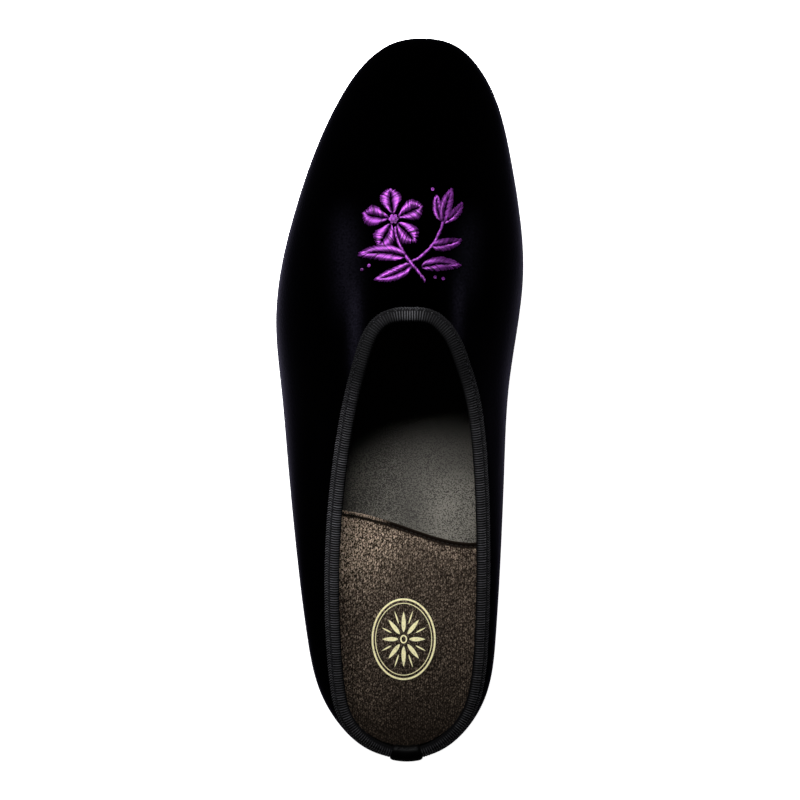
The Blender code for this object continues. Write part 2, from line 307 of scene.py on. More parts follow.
def bed(y):
    """Height of the outsole's top: level at the heel seat and the ball, with shank and toe spring."""
    station = y + LENGTH / 2
    climb = ease((BALL_FLAT_START - station) / (BALL_FLAT_START - HEEL_SEAT_END))
    ahead = np.clip(station - BALL_FLAT_END, 0, None) / (LENGTH - BALL_FLAT_END)
    return OUTSOLE_THICK + (HEEL_HEIGHT + GAP) * climb + TOE_SPRING * ahead ** TOE_SPRING_POWER


def sole_bottom(y):
    """Height of the outsole's underside."""
    return bed(y) - OUTSOLE_THICK


def insole_top(y):
    """Height of the insole's top."""
    return bed(y) + GAP + INSOLE_THICK


def pad_top(y):
    """Height of the heel pad's top."""
    return insole_top(y) + GAP + PAD_THICK


def raised(flat, height):
    """Points in plan set at a height that depends on y."""
    return np.concatenate((flat, height(flat[..., 1])[..., None]), axis=-1)


def sole_edge(girth, inset):
    """Points (x, y) of the outsole's edge, moved inwards."""
    along = unit(sole_at(girth + SMALL_STEP) - sole_at(girth - SMALL_STEP))
    inwards = np.stack((along[..., 1], -along[..., 0]), axis=-1)
    return sole_at(girth) + inwards * inset


def foot_curve(girth):
    """Control points of the wall from the feather edge, on the sole, up to the widest line."""
    foot = raised(sole_edge(girth, FEATHER_INSET), lambda y: bed(y) + GAP)
    wide = outline_at(girth)
    wide[..., 2] += bed(wide[..., 1])
    flare = (wide - foot) * (FOOT_FLARE, FOOT_FLARE, FOOT_LIFT)
    drop = (wide - foot) * (0, 0, FOOT_UPRIGHT)
    return foot, foot + flare, wide - drop, wide


def crown_curve(girth):
    """Control points of the wall from the widest line up to the edge of the foot opening."""
    wide = foot_curve(girth)[-1]
    edge = collar_at(girth)
    top, slope = edge[..., :3], edge[..., 3:]
    forward = ease((wide[..., 1:2] + LENGTH / 2 - SIDE_END) / (LENGTH - SIDE_END))
    upright = SIDE_UPRIGHT + (TOE_UPRIGHT - SIDE_UPRIGHT) * forward
    span = np.linalg.norm(wide - top, axis=-1, keepdims=True)
    reach = (SIDE_REACH + (TOE_REACH - SIDE_REACH) * forward) * span
    lean = unit((wide - top) * (1, 1, 0)) * np.cos(slope) - np.sin(slope) * (0, 0, 1)
    rise = (top - wide) * (0, 0, 1) * upright
    return wide, wide + rise, top + lean * reach, top


def on_curve(controls, share):
    """Points of cubic curves."""
    a, b, c, d = controls
    rest = 1 - share
    return a * rest ** 3 + 3 * b * rest * rest * share + 3 * c * rest * share * share + d * share ** 3


def skin(girth, depth, lift):
    """Points that lie depth below the foot opening's edge, square to it, and lift outside the wall."""
    girth, depth, lift = np.broadcast_arrays(girth, depth, lift)
    shape = girth.shape
    girth, depth, lift = girth.ravel(), depth.ravel()[:, None], lift.ravel()[:, None]
    controls = crown_curve(girth)
    edge = (collar_at(girth + SMALL_STEP) - collar_at(girth - SMALL_STEP))[:, :3]
    speed = np.linalg.norm(edge, axis=1) / (2 * SMALL_STEP)
    drift = np.sum(unit(controls[2] - controls[3]) * unit(edge), axis=1)
    inside = np.clip(depth[:, 0], 0, None) / np.sqrt(1 - drift * drift)
    girth = girth - inside * drift / speed
    controls = crown_curve(girth)
    samples = np.linspace(1, 0, LENGTH_SAMPLES)[:, None]
    points = on_curve([control[:, None] for control in controls], samples)
    lengths = np.cumsum(np.linalg.norm(np.diff(points, axis=1), axis=2), axis=1)
    lengths = np.concatenate((np.zeros((len(girth), 1)), lengths), axis=1)
    after = np.clip(np.sum(lengths < inside[:, None], axis=1), 1, LENGTH_SAMPLES - 1)
    rows = np.arange(len(girth))
    begin, end = lengths[rows, after - 1], lengths[rows, after]
    share = 1 - (after - 1 + (inside - begin) / (end - begin)) / (LENGTH_SAMPLES - 1)
    share = share[:, None]
    here = on_curve(controls, share)
    down = unit(on_curve(controls, share - SHARE_STEP) - here)
    along = unit(on_curve(crown_curve(girth + SMALL_STEP), share)
                 - on_curve(crown_curve(girth - SMALL_STEP), share))
    out = unit(np.cross(along, down))
    placed = here + np.cross(out, along) * np.clip(depth, None, 0) + out * lift
    return placed.reshape(*shape, 3)


def crowded(count):
    """Even shares from 0 to 1, drawn together at both ends."""
    even = np.linspace(0, 1, count + 1)
    return even - CROWDING * np.sin(2 * math.pi * even) / (2 * math.pi)


def round_girths(count):
    """Girths from the toe along the inner side to the back and on to the toe."""
    half = TOE * crowded(count)
    return np.concatenate((-half[:0:-1], half))


def edge_girths(count):
    """Girths at even steps along the foot opening's edge, all the way round, and the edge's length."""
    dense = np.linspace(-TOE, TOE, DENSE_STEPS + 1)
    lengths = lengths_along(collar_at(dense)[:, :3])
    return np.interp(np.linspace(0, lengths[-1], count + 1), lengths, dense), lengths[-1]


def rear_girths(station, shares):
    """Girths on one side for a piece that ends at a station."""
    dense = np.linspace(0, TOE, DENSE_STEPS)
    return np.interp(station - LENGTH / 2, sole_at(dense)[:, 1], dense) * shares


def slab_level(girths, inset, height, front=None, columns=SLAB_COLUMNS):
    """Grid across the shoe inside the sole's edge; front gives the last row's station by share of width."""
    shares = np.linspace(0, 1, columns + 1)
    outer, inner = sole_edge(girths, inset), sole_edge(-girths, inset)
    level = outer[:, None] + (inner - outer)[:, None] * shares[:, None]
    if front:
        way = (girths / girths[-1]) ** FRONT_PULL
        level[:, :, 1] += way[:, None] * (front(shares) - LENGTH / 2 - level[-1, :, 1])
    return raised(level, height)


def rim(level):
    """Edge of a grid that starts at a point at the back."""
    return np.concatenate((level[:, 0], level[-1, 1:-1], level[::-1, -1]))


def pad_front(share):
    """Station of the heel pad's front edge, a smooth wave through the table's rows."""
    shares, stations = np.array(PAD_FRONT).T
    return np.polyval(np.polyfit(shares, stations, len(shares) - 1), share) * MM


def along_lines(points, rows):
    """Sum of soft lines over points, each with its own height, rounded across and faded at both ends."""
    total = np.zeros(points.shape[:-1])
    for x0, station0, x1, station1, half_width, height in rows:
        start = np.array((x0 * MM, station0 * MM - LENGTH / 2))
        run = np.array((x1 - x0, station1 - station0)) * MM
        length = np.linalg.norm(run)
        from_start = points[..., :2] - start
        share = from_start @ run / length ** 2
        off = (from_start[..., 0] * run[1] - from_start[..., 1] * run[0]) / length / (half_width * MM)
        total += height * ease(share / LINE_FADE) * ease((1 - share) / LINE_FADE) * np.exp(-off * off)
    return total


# Meshes


def add_piece(name, sheets, materials, shades=None, fill=False):
    """Object made of grids of points, welded along the lines that they share, with one material for each
    grid or one for all. Shades, one for each grid or for each of its points, are kept for the material to
    read."""
    if len(materials) == 1:
        materials = materials * len(sheets)
    vertices, faces, finishes, tones = [], [], [], []
    start = 0
    for sheet, material, shade in zip(sheets, materials, shades or [0] * len(sheets)):
        rows, columns = sheet.shape[:2]
        index = start + np.arange(rows * columns).reshape(rows, columns)
        quads = np.stack((index[:-1, :-1], index[:-1, 1:], index[1:, 1:], index[1:, :-1]), axis=-1)
        vertices.append(sheet.reshape(-1, 3))
        faces.append(quads.reshape(-1, 4))
        finishes += [material] * len(faces[-1])
        tones.append(np.broadcast_to(shade, (rows, columns)).ravel())
        start += rows * columns
    kinds = list(dict.fromkeys(materials))
    mesh = bpy.data.meshes.new(name)
    mesh.from_pydata(np.concatenate(vertices), [], np.concatenate(faces).tolist())
    mesh.polygons.foreach_set("material_index", [kinds.index(material) for material in finishes])
    if shades:
        mesh.attributes.new("shade", "FLOAT", "POINT").data.foreach_set("value", np.concatenate(tones))
    work = bmesh.new()
    work.from_mesh(mesh)
    bmesh.ops.remove_doubles(work, verts=work.verts, dist=WELD)
    bmesh.ops.dissolve_degenerate(work, edges=work.edges, dist=WELD)
    if fill:
        bmesh.ops.holes_fill(work, edges=work.edges, sides=0)
    bmesh.ops.recalc_face_normals(work, faces=work.faces)
    work.to_mesh(mesh)
    work.free()
    mesh.shade_smooth()
    mesh.set_sharp_from_angle(angle=SHARP_ANGLE)
    for material in kinds:
        mesh.materials.append(material)
    piece = bpy.data.objects.new(name, mesh)
    bpy.context.scene.collection.objects.link(piece)
    return piece


def tubes(paths, normals, radius):
    """Grids of round threads along paths, as arrays of thread, point and place, with pointed ends."""
    along = np.gradient(paths, axis=1)
    side = unit(np.cross(along, normals))
    up = unit(np.cross(side, along))
    angle = np.linspace(0, 2 * math.pi, THREAD_SIDES + 1)[:, None]
    share = np.linspace(-1, 1, paths.shape[1])
    girth = radius * np.sqrt(1 - share ** THREAD_TIP_POWER)[:, None, None]
    round_off = np.cos(angle) * side[:, :, None] + np.sin(angle) * up[:, :, None]
    return list(paths[:, :, None] + girth * round_off)


def strip(path, normals, width, thick):
    """Grid of a flat strip along a path, with a width for each of its points."""
    side = unit(np.cross(np.gradient(path, axis=0), normals)) * width[:, None] / 2
    top = normals * thick
    return np.stack((path - side, path + side, path + side + top, path - side + top, path - side), axis=1)


# Materials


def linear(code):
    """Linear colour of an sRGB hex value."""
    parts = [int(code[i:i + 2], 16) / 255 for i in (1, 3, 5)]
    return tuple(c / 12.92 if c <= 0.04045 else ((c + 0.055) / 1.055) ** 2.4 for c in parts)


def pattern_scale(size):
    """Texture scale that gives features of a real size in mm."""
    return 1 / (size * MM)


def add_node(tree, kind, values=None, links=None, **settings):
    """Shader node with its settings, its sockets' values and the outputs that feed its sockets."""
    node = tree.nodes.new(kind)
    for name, value in settings.items():
        setattr(node, name, value)
    for socket, value in (values or {}).items():
        node.inputs[socket].default_value = value
    for socket, source in (links or {}).items():
        tree.links.new(source, node.inputs[socket])
    return node


def new_material(name, values):
    """Material with a principled shader: its tree, its shader and the object's own coordinates."""
    material = bpy.data.materials.new(name)
    material.use_nodes = True
    tree = material.node_tree
    shader = tree.nodes["Principled BSDF"]
    for socket, value in values.items():
        shader.inputs[socket].default_value = value
    place = add_node(tree, "ShaderNodeTexCoord").outputs["Object"]
    return material, tree, shader, place


def shade_of(tree):
    """Shade that a piece keeps for its material."""
    return add_node(tree, "ShaderNodeAttribute", attribute_name="shade").outputs["Fac"]


def noise(tree, place, size, detail=2.0, roughness=0.5):
    """Cloudy pattern with features of a real size in mm."""
    values = {"Scale": pattern_scale(size), "Detail": detail, "Roughness": roughness}
    return add_node(tree, "ShaderNodeTexNoise", values, {"Vector": place}).outputs[0]


def cells(tree, place, size):
    """Pattern of small cells of a real size in mm, dark in their middles."""
    values = {"Scale": pattern_scale(size)}
    return add_node(tree, "ShaderNodeTexVoronoi", values, {"Vector": place}).outputs[0]


def ranged(tree, value, start=0, stop=1, low=0, high=1):
    """Value taken from one range to another, and held at its ends."""
    values = {"From Min": start, "From Max": stop, "To Min": low, "To Max": high}
    return add_node(tree, "ShaderNodeMapRange", values, {"Value": value}).outputs[0]


def product(tree, one, other):
    """One value times another."""
    return add_node(tree, "ShaderNodeMath", {}, {0: one, 1: other}, operation="MULTIPLY").outputs[0]


def weighted_sum(tree, value, weight, other):
    """A value with a weight, added to another."""
    links = {0: value, 2: other}
    return add_node(tree, "ShaderNodeMath", {1: weight}, links, operation="MULTIPLY_ADD").outputs[0]


def blend(tree, share, dark, light):
    """Colour between a dark and a light one."""
    values = {6: (*dark, 1), 7: (*light, 1)}
    return add_node(tree, "ShaderNodeMix", values, {0: share}, data_type="RGBA").outputs[2]


def bumps(tree, height, strength, depth):
    """Normals of a surface roughened by a pattern to a depth in mm."""
    values = {"Strength": strength, "Distance": depth * MM}
    return add_node(tree, "ShaderNodeBump", values, {"Height": height}).outputs[0]


def darker(colour, share):
    """Colour with a share of its light."""
    return tuple(share * c for c in colour)


def feed(tree, shader, **sources):
    """Link a colour, roughness or normal to the shader."""
    sockets = {"colour": "Base Color", "rough": "Roughness", "normal": "Normal"}
    for name, source in sources.items():
        tree.links.new(source, shader.inputs[sockets[name]])


def cotton_velvet(look):
    """Woven cotton pile, cut short and upright: black face on, a faint violet bloom at the rim, lighter
    in streaks of painted sheen beside the throat."""
    material, tree, shader, place = new_material("cotton_velvet", {
        "Roughness": 0.9,
        "Specular IOR Level": 0.0,
        "Sheen Weight": look.bloom,
        "Sheen Roughness": 0.3,
        "Sheen Tint": (*look.bloom_colour, 1),
    })
    # Tufts are about 0.3 mm apart, drawn at 0.8 mm so that they show
    tufts = noise(tree, place, size=0.8)
    # Painted sheen: the piece's shade lightens the pile in streaks beside the throat
    sheen_painted = product(tree, ranged(tree, tufts, start=0.1, stop=0.8), shade_of(tree))
    feed(tree, shader,
         colour=blend(tree, sheen_painted, look.pile_colour, look.sheen_streak_colour),
         normal=bumps(tree, tufts, strength=0.5, depth=0.25))
    return material


def lining_leather(look):
    """Thin drummed leather, dyed black: soft grain with a low gloss."""
    material, tree, shader, place = new_material("lining_leather", {"Roughness": 0.6})
    feed(tree, shader,
         colour=blend(tree, noise(tree, place, size=7), darker(look.lining_colour, 0.6), look.lining_colour),
         normal=bumps(tree, cells(tree, place, size=0.9), strength=0.25, depth=0.1))
    return material


def grosgrain(look):
    """Cotton and rayon ribbon woven in cross ribs: satin gloss on the ribs, painted light on their tops and
    painted shade, near black, between them.
    """
    material, tree, shader, place = new_material("rayon_grosgrain", {"Specular IOR Level": 0.02})
    rib = shade_of(tree)
    # Yarns are about 0.15 mm thick, drawn at 0.35 mm so that they show
    yarns = noise(tree, place, size=0.35, detail=1)
    # Painted light on the rib tops, painted shade between them
    feed(tree, shader,
         colour=blend(tree, rib, darker(look.ribbon_colour, 0.02), look.ribbon_colour),
         rough=ranged(tree, rib, low=0.9, high=0.42),
         normal=bumps(tree, yarns, strength=0.5, depth=0.08))
    return material


def sewing_thread(name, colour):
    """Twisted polyester sewing thread: small bright glints along each stitch."""
    material, tree, shader, place = new_material(name, {"Roughness": 0.45, "Specular IOR Level": 0.1})
    feed(tree, shader, colour=blend(tree, noise(tree, place, size=0.4), darker(colour, 0.5), colour))
    return material


def rayon_thread(look):
    """Bright untwisted rayon: each thread throws a tinted streak of light where it bends over, and is dark
    where it turns away."""
    material, tree, shader, place = new_material("rayon_embroidery_thread", {
        "Metallic": 0.5,
        "Roughness": 0.34,
        "Specular IOR Level": 0.25,
        "Specular Tint": (*look.glint_colour, 1),
    })
    dye = weighted_sum(tree, noise(tree, place, size=1.2), 0.8, shade_of(tree))
    spread = ranged(tree, dye, start=0.3, stop=1.2)
    feed(tree, shader, colour=blend(tree, spread, look.shade_colour, look.thread_colour))
    return material


def sock_leather(look):
    """Grey lining calf with a fine pebbled grain and a soft waxed gloss: a dense light and dark speckle."""
    material, tree, shader, place = new_material("sock_calf", {"Specular IOR Level": 0.12})
    # Grain is about 0.3 mm, drawn at 0.5 mm so that it shows
    speckle = noise(tree, place, size=0.5, detail=1)
    cloudy = weighted_sum(tree, noise(tree, place, size=22), 0.3, speckle)
    spread = ranged(tree, cloudy, start=0.57, stop=0.73)
    # The piece's shade paints shadow and shade into the sock's colour
    shaded = product(tree, spread, shade_of(tree))
    feed(tree, shader,
         colour=blend(tree, shaded, darker(look.sock_colour, 0.2), look.sock_colour),
         rough=ranged(tree, spread, low=0.62, high=0.46),
         normal=bumps(tree, cells(tree, place, size=0.6), strength=0.5, depth=0.15))
    return material


def pad_leather(look):
    """Bronze-brown goat pressed with rows of small pebbles: rubbed and glossy on top, dark in the pits, so it
    goes from bright to dark where the bed turns out of the light; the piece's shade adds painted light, which
    falls off from the front to the heel, and a painted highlight on the lip."""
    material, tree, shader, place = new_material("embossed_goat", {
        "Specular IOR Level": 0.13,
        "Specular Tint": (*look.pad_gloss, 1),
    })
    drawn_out = add_node(tree, "ShaderNodeMapping", {"Scale": (1.2, 0.4, 1)}, {"Vector": place}).outputs[0]
    # Flecks of the rubbed dye are about 0.2 mm wide, drawn from 0.5 mm down so that they show
    flecks = noise(tree, drawn_out, size=0.5, roughness=1)
    # The piece's shade carries painted light on the pad and a painted highlight on its lip
    spread = product(tree, shade_of(tree), ranged(tree, flecks, start=0.46, stop=0.6, high=2.1))
    feed(tree, shader,
         colour=blend(tree, spread, look.groove_colour, look.pad_colour),
         rough=ranged(tree, spread, low=0.75, high=0.38),
         normal=bumps(tree, noise(tree, place, size=0.45, detail=1), strength=0.25, depth=0.05))
    return material


def gold_foil(look):
    """Pale gold foil stamped hot into the leather: a matt metal glow with small spots rubbed off."""
    material, tree, shader, place = new_material("stamped_gold_foil", {"Metallic": 0.1, "Roughness": 0.5})
    kept = ranged(tree, noise(tree, place, size=0.8), start=0.25, stop=0.5)
    feed(tree, shader, colour=blend(tree, kept, darker(look.foil_colour, 0.6), look.foil_colour))
    return material


def dyed_leather(name, colour, gloss, grain):
    """Vegetable-tanned leather, dyed and waxed: fine grain, its size in mm, with cloudy dye, and a coat where
    it is polished."""
    material, tree, shader, place = new_material(name, {
        "Specular IOR Level": 0.05 + gloss,
        "Coat Weight": gloss,
        "Coat Roughness": 0.2,
    })
    dye = noise(tree, place, size=9, detail=4)
    feed(tree, shader,
         colour=blend(tree, dye, darker(colour, 0.5), colour),
         rough=ranged(tree, dye, low=0.38, high=0.6),
         normal=bumps(tree, cells(tree, place, grain), strength=0.25, depth=0.1))
    return material


def white_acrylic(look):
    """Frosted acrylic lit from below: an even white glow with the faintest cloud in it."""
    material, tree, shader, place = new_material("white_acrylic", {
        "Roughness": 0.7,
        "Specular IOR Level": 0.1,
        "Emission Color": (1, 1, 1, 1),
        "Emission Strength": look.table_glow,
    })
    cloud = noise(tree, place, TABLE_CLOUD)
    feed(tree, shader, colour=blend(tree, cloud, darker(look.table_colour, 0.97), look.table_colour))
    return material


# Settings


def colour_setting(name, code, description):
    """Colour that a user can change."""
    return FloatVectorProperty(name=name, description=description, subtype="COLOR", min=0, max=1,
                               default=linear(code))


def size_setting(name, size, description):
    """Length that a user can change, given in mm."""
    return FloatProperty(name=name, description=description, unit="LENGTH", precision=5, default=size * MM)


def share_setting(name, share, description):
    """Share that a user can change."""
    return FloatProperty(name=name, description=description, subtype="FACTOR", min=0, max=1, default=share)


class MuleUpperSettings(bpy.types.PropertyGroup):
    """Velvet and lining"""

    pile_colour: colour_setting("Pile", "#000000", "Velvet seen square on")
    # Colour of the painted sheen in streaks beside the throat
    sheen_streak_colour: colour_setting("Brushed pile", "#0d0c12", "Velvet where the pile is brushed over")
    bloom_colour: colour_setting("Bloom", "#8f8aa8", "Glow of the pile at the rim")
    bloom: share_setting("Bloom strength", 0.15, "How strongly the pile glows at the rim")
    lining_colour: colour_setting("Lining", "#050505", "Leather inside the wall")
    crease: FloatProperty(name="Crease", description="Height of the soft folds, as a factor", default=1)


class MuleRibbonSettings(bpy.types.PropertyGroup):
    """Ribbon round the foot opening, and the tab at the back"""

    ribbon_colour: colour_setting("Ribbon", "#606064", "Tops of the ribs")
    thread_colour: colour_setting("Thread", "#1c1c1f", "Stitches along the ribbon")
    tab_colour: colour_setting("Tab", "#020202", "Leather tab over the ribbon's ends")
    rib_pitch: size_setting("Rib pitch", 0.97, "Distance from rib to rib")
    rib_height: size_setting("Rib height", 0.25, "Height of the ribs")
    stitch_pitch: size_setting("Stitch pitch", 2.6, "Distance from stitch to stitch")
    side_seam: size_setting("Side seam", 1.6, "Distance of the stitches below the edge at the sides")
    throat_seam: size_setting("Throat seam", 2.6, "Distance of the stitches below the edge at the throat")


class MuleEmbroiderySettings(bpy.types.PropertyGroup):
    """Satin-stitch sprig on the vamp"""

    thread_colour: colour_setting("Thread", "#521f60", "Rayon thread")
    shade_colour: colour_setting("Shaded thread", "#100415", "Darker runs of the thread")
    glint_colour: colour_setting("Glint", "#f2aaf6", "Light thrown by the thread")
    centre_x: size_setting("Centre across", 3.7, "Middle of the sprig, towards the inner side")
    centre_station: size_setting("Centre along", 210.5, "Middle of the sprig, from the back of the shoe")
    # Threads lie about 0.25 mm apart, drawn at 0.5 mm so that they show
    spacing: size_setting("Thread spacing", 0.5, "Distance from thread to thread")
    radius: size_setting("Thread radius", 0.26, "Half the thread's thickness")
    padding: size_setting("Padding", 1.0, "Height of the padded satin areas")


class MuleFootbedSettings(bpy.types.PropertyGroup):
    """Sock, heel pad and foil"""

    sock_colour: colour_setting("Sock", "#64615a", "Grey leather of the insole")
    pad_colour: colour_setting("Pad", "#d3bca6", "Tops of the pressed pebbles")
    pad_gloss: colour_setting("Pad gloss", "#e8cdb4", "Light thrown by the rubbed tops")
    groove_colour: colour_setting("Pits", "#060403", "Pits between the pebbles")
    foil_colour: colour_setting("Foil", "#f8f0bc", "Stamped ornament")
    thread_colour: colour_setting("Thread", "#15120f", "Stitches along the pad's front edge")
    pebble_width: size_setting("Pebble width", 0.8, "Distance from pebble to pebble across")
    pebble_length: size_setting("Pebble length", 1.0, "Distance from pebble to pebble along")
    pebble_height: size_setting("Pebble height", 0.1, "Depth of the pressing")


class MuleSoleSettings(bpy.types.PropertyGroup):
    """Outsole and heel"""

    sole_colour: colour_setting("Sole", "#17120f", "Leather of the outsole")
    heel_colour: colour_setting("Heel", "#120f0e", "Stacked leather of the heel")
    top_piece_colour: colour_setting("Top piece", "#0c0c0d", "Rubber under the heel")
    lift_height: size_setting("Lift", 3.6, "Thickness of one layer of the heel")


class MuleStageSettings(bpy.types.PropertyGroup):
    """Table, light and camera"""

    table_colour: colour_setting("Table", "#f4f4f4", "White table top")
    table_glow: FloatProperty(name="Table glow", description="Light from inside the table top", default=1)
    key_energy: FloatProperty(name="Key light", description="Power of the soft box", unit="POWER",
                              default=4.5)
    fill: FloatProperty(name="Fill", description="Light from all round", default=0.02)
    camera_height: FloatProperty(name="Camera height", description="Height of the lens over the table",
                                 unit="LENGTH", default=1.5)
    lens: FloatProperty(name="Lens", description="Focal length in mm", default=165.9)


# Pieces


def place_piece(piece, slot, *nodes):
    """Fix a piece to the shoe; it stands for the nodes that it covers, which it hides. The slot is not used.
    """
    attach(piece, "root")
    if nodes:
        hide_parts(*nodes)


# Stitches: half thickness, and the share of their pitch that shows
STITCH_RADIUS = 0.2 * MM
STITCH_SHARE = 0.72


def sew(name, slot, thread, starts, ends, normals):
    """Piece made of short stitches that bulge a little between their ends."""
    share = np.linspace(0, 1, STITCH_POINTS)[:, None]
    bulge = np.sin(math.pi * share) * STITCH_RADIUS
    paths = starts[:, None] + (ends - starts)[:, None] * share + normals[:, None] * bulge
    sheets = tubes(paths, np.repeat(normals[:, None], len(share), axis=1), STITCH_RADIUS)
    place_piece(add_piece(name, sheets, [thread]), slot)


def build_upper(look):
    """Velvet wall with soft folds, and its lining."""
    girths = round_girths(WALL_STEPS)[:, None]
    crown = on_curve(crown_curve(girths), np.linspace(1, 0, CROWN_STEPS + 1)[:, None])
    foot = on_curve(foot_curve(girths), np.linspace(1, 0, FOOT_STEPS + 1)[1:, None])
    wall = np.concatenate((crown, foot), axis=1)[:-1]
    along = np.roll(wall, -1, axis=0) - np.roll(wall, 1, axis=0)
    out = unit(np.cross(along, np.gradient(wall, axis=1)))
    wall += out * along_lines(wall, CREASES)[..., None] * MM * look.crease
    outer, inner = (np.concatenate((side, side[:1])) for side in (wall, wall - out * WALL))
    edges = [np.stack((outer[:, row], inner[:, row]), axis=1) for row in (0, -1)]
    lining = lining_leather(look)
    # The velvet's shade paints sheen in streaks beside the throat
    piece = add_piece("velvet_upper", [outer, inner, *edges], [cotton_velvet(look), lining, lining, lining],
                      [along_lines(outer, PAINTED_SHEEN_STREAKS), 0, 0, 0])
    place_piece(piece, "velvet", "upper")


# Ribs of the ribbon: mesh points for each, least height, zigzag outside the seam as a share of their pitch
RIB_SAMPLES = 5
RIB_LEAST = 0.88
ZIGZAG = 0.8

# Power that narrows their painted light tops, and the painted light by mm along the edge from the throat:
# bright in its middle, painted shade on its shoulders, bright again along the sides
RIB_POWER = 5
RIB_PAINTED_LIGHT = ((0, 0.6), (3, 0.5), (7, 0.1), (34, 0.08), (60, 0.7), (95, 1.15), (150, 0.75))

# Angles over the fold between which they flatten and turn dark with painted shade, and the share of their
# height that is left
FLAT_SHADED_FROM = (80 * DEGREE, 130 * DEGREE)
FLAT_SHADED_RIBS = 0.3

# Stitched groove: half width, depth, share of the ribs that it takes, stations between which it moves out
SEAM_WIDTH = 0.28 * MM
SEAM_DEPTH = 0.2 * MM
SEAM_SHADE = 0.6
SEAM_TURN = (130 * MM, 172 * MM)

# Mesh rows of the outer and the inner leg, as shares of their length, and round the fold's two faces
OUTER_LEG_ROWS = np.linspace(0.97, 0.1, 13)
INNER_LEG_ROWS = np.linspace(0.25, 0.95, 4)
OUTER_FOLD_ROWS = 9
INNER_FOLD_ROWS = 5


def over_fold(radius, angle):
    """Depth and lift of a place round the fold of a strip over the wall's edge."""
    return FOLD_DEPTH - radius * math.sin(angle), radius * math.cos(angle) - WALL / 2


def ribbon_profile():
    """Profile round the folded ribbon: depth, lift, 1 on the outer leg, height share of the ribs, which the
    foot has pressed flat on the inner side, where that share also darkens them with painted shade."""
    rows = [(RIBBON_LEG, GAP + RIBBON_THICK / 2, 1, 1)]
    rows += [(depth, GAP + RIBBON_THICK, 1, 1) for depth in OUTER_LEG_ROWS * RIBBON_LEG]
    outside, inside = WALL / 2 + GAP + RIBBON_THICK, WALL / 2 + GAP
    for angle in np.linspace(0, math.pi, OUTER_FOLD_ROWS):
        rows.append((*over_fold(outside, angle), 0, 1 - (1 - FLAT_SHADED_RIBS) * between(angle, FLAT_SHADED_FROM)))
    rows += [(depth, -outside - WALL / 2, 0, FLAT_SHADED_RIBS) for depth in INNER_LEG_ROWS * RIBBON_LEG]
    rows.append((RIBBON_LEG, -inside - WALL / 2, 0, 0))
    rows += [(*over_fold(inside, angle), 0, 0) for angle in np.linspace(math.pi, 0, INNER_FOLD_ROWS)]
    rows.append((RIBBON_LEG, GAP, 0, 0))
    rows.append(rows[0])
    return np.array(rows).T


def seam_depth(girths, look):
    """Distance of the ribbon's stitches below the foot opening's edge."""
    station = collar_at(girths)[..., 1] + LENGTH / 2
    return look.side_seam + (look.throat_seam - look.side_seam) * between(station, SEAM_TURN)


def build_binding(look):
    """Ribbed ribbon folded over the foot opening's edge: straight ribs inside a line of stitches, zigzag ones
    outside it."""
    random = np.random.default_rng(SEED)
    edge_length = edge_girths(1)[1]
    ribs = round(edge_length / look.rib_pitch)
    girths = edge_girths(ribs * RIB_SAMPLES)[0][:, None]
    depth, lift, outer, ribbed = ribbon_profile()
    seam = seam_depth(girths, look)
    groove = outer * np.exp(-((depth - seam) / SEAM_WIDTH) ** 2)
    edge = outer * (depth > seam)
    zigzag = np.abs(1 - 2 * np.clip((depth - seam) / (RIBBON_LEG - seam), 0, 1))
    turn = np.arange(len(girths))[:, None] / RIB_SAMPLES + edge * (0.5 + ZIGZAG * zigzag)
    height = random.uniform(RIB_LEAST, 1, (2, ribs))
    wave = (0.5 + 0.5 * np.cos(2 * math.pi * turn)) * ribbed * (1 - SEAM_SHADE * groove)
    wave *= height[edge.astype(int), np.round(turn).astype(int) % ribs]
    ribbon = skin(girths, depth, lift + wave * look.rib_height - groove * SEAM_DEPTH)
    ribbon[-1], wave[-1] = ribbon[0], wave[0]
    along = np.linspace(0, edge_length / MM, len(girths))[:, None]
    # Painted light along the edge: bright at the throat's middle and sides, painted shade on its shoulders
    painted_rib_light = from_table(np.minimum(along, along[::-1]), RIB_PAINTED_LIGHT)
    piece = add_piece("grosgrain_binding", [ribbon], [grosgrain(look)], [wave ** RIB_POWER * painted_rib_light])
    place_piece(piece, "grosgrain", "collar_binding")

    middles = edge_girths(round(edge_length / look.stitch_pitch))[0][:-1]
    half = STITCH_SHARE / 2 * np.mean(np.diff(middles))
    lift = GAP + RIBBON_THICK - STITCH_RADIUS / 2
    starts, ends = (skin(middles + step, seam_depth(middles + step, look), lift) for step in (-half, half))
    seam = seam_depth(middles, look)
    normals = unit(skin(middles, seam, 2 * lift) - skin(middles, seam, lift))
    thread = sewing_thread("polyester_thread", look.thread_colour)
    sew("binding_stitches", "grosgrain", thread, starts, ends, normals)


# Tab: width over which its edges are thinned, share of thickness left there, how far its lower ends tuck in,
# depth where it begins to bend over, then its mesh steps across and down the outer leg, fold and inner leg
TAB_SKIVE = 1.6 * MM
TAB_EDGE = 0.2
TAB_TUCK = 0.8 * MM
TAB_BEND = 0.5 * MM
TAB_STEPS = (25, 12, 9, 10)

# Stitches across the tab: angle over the fold and pitch
TAB_STITCH_ANGLE = 118 * DEGREE
TAB_STITCH_PITCH = 2.1 * MM


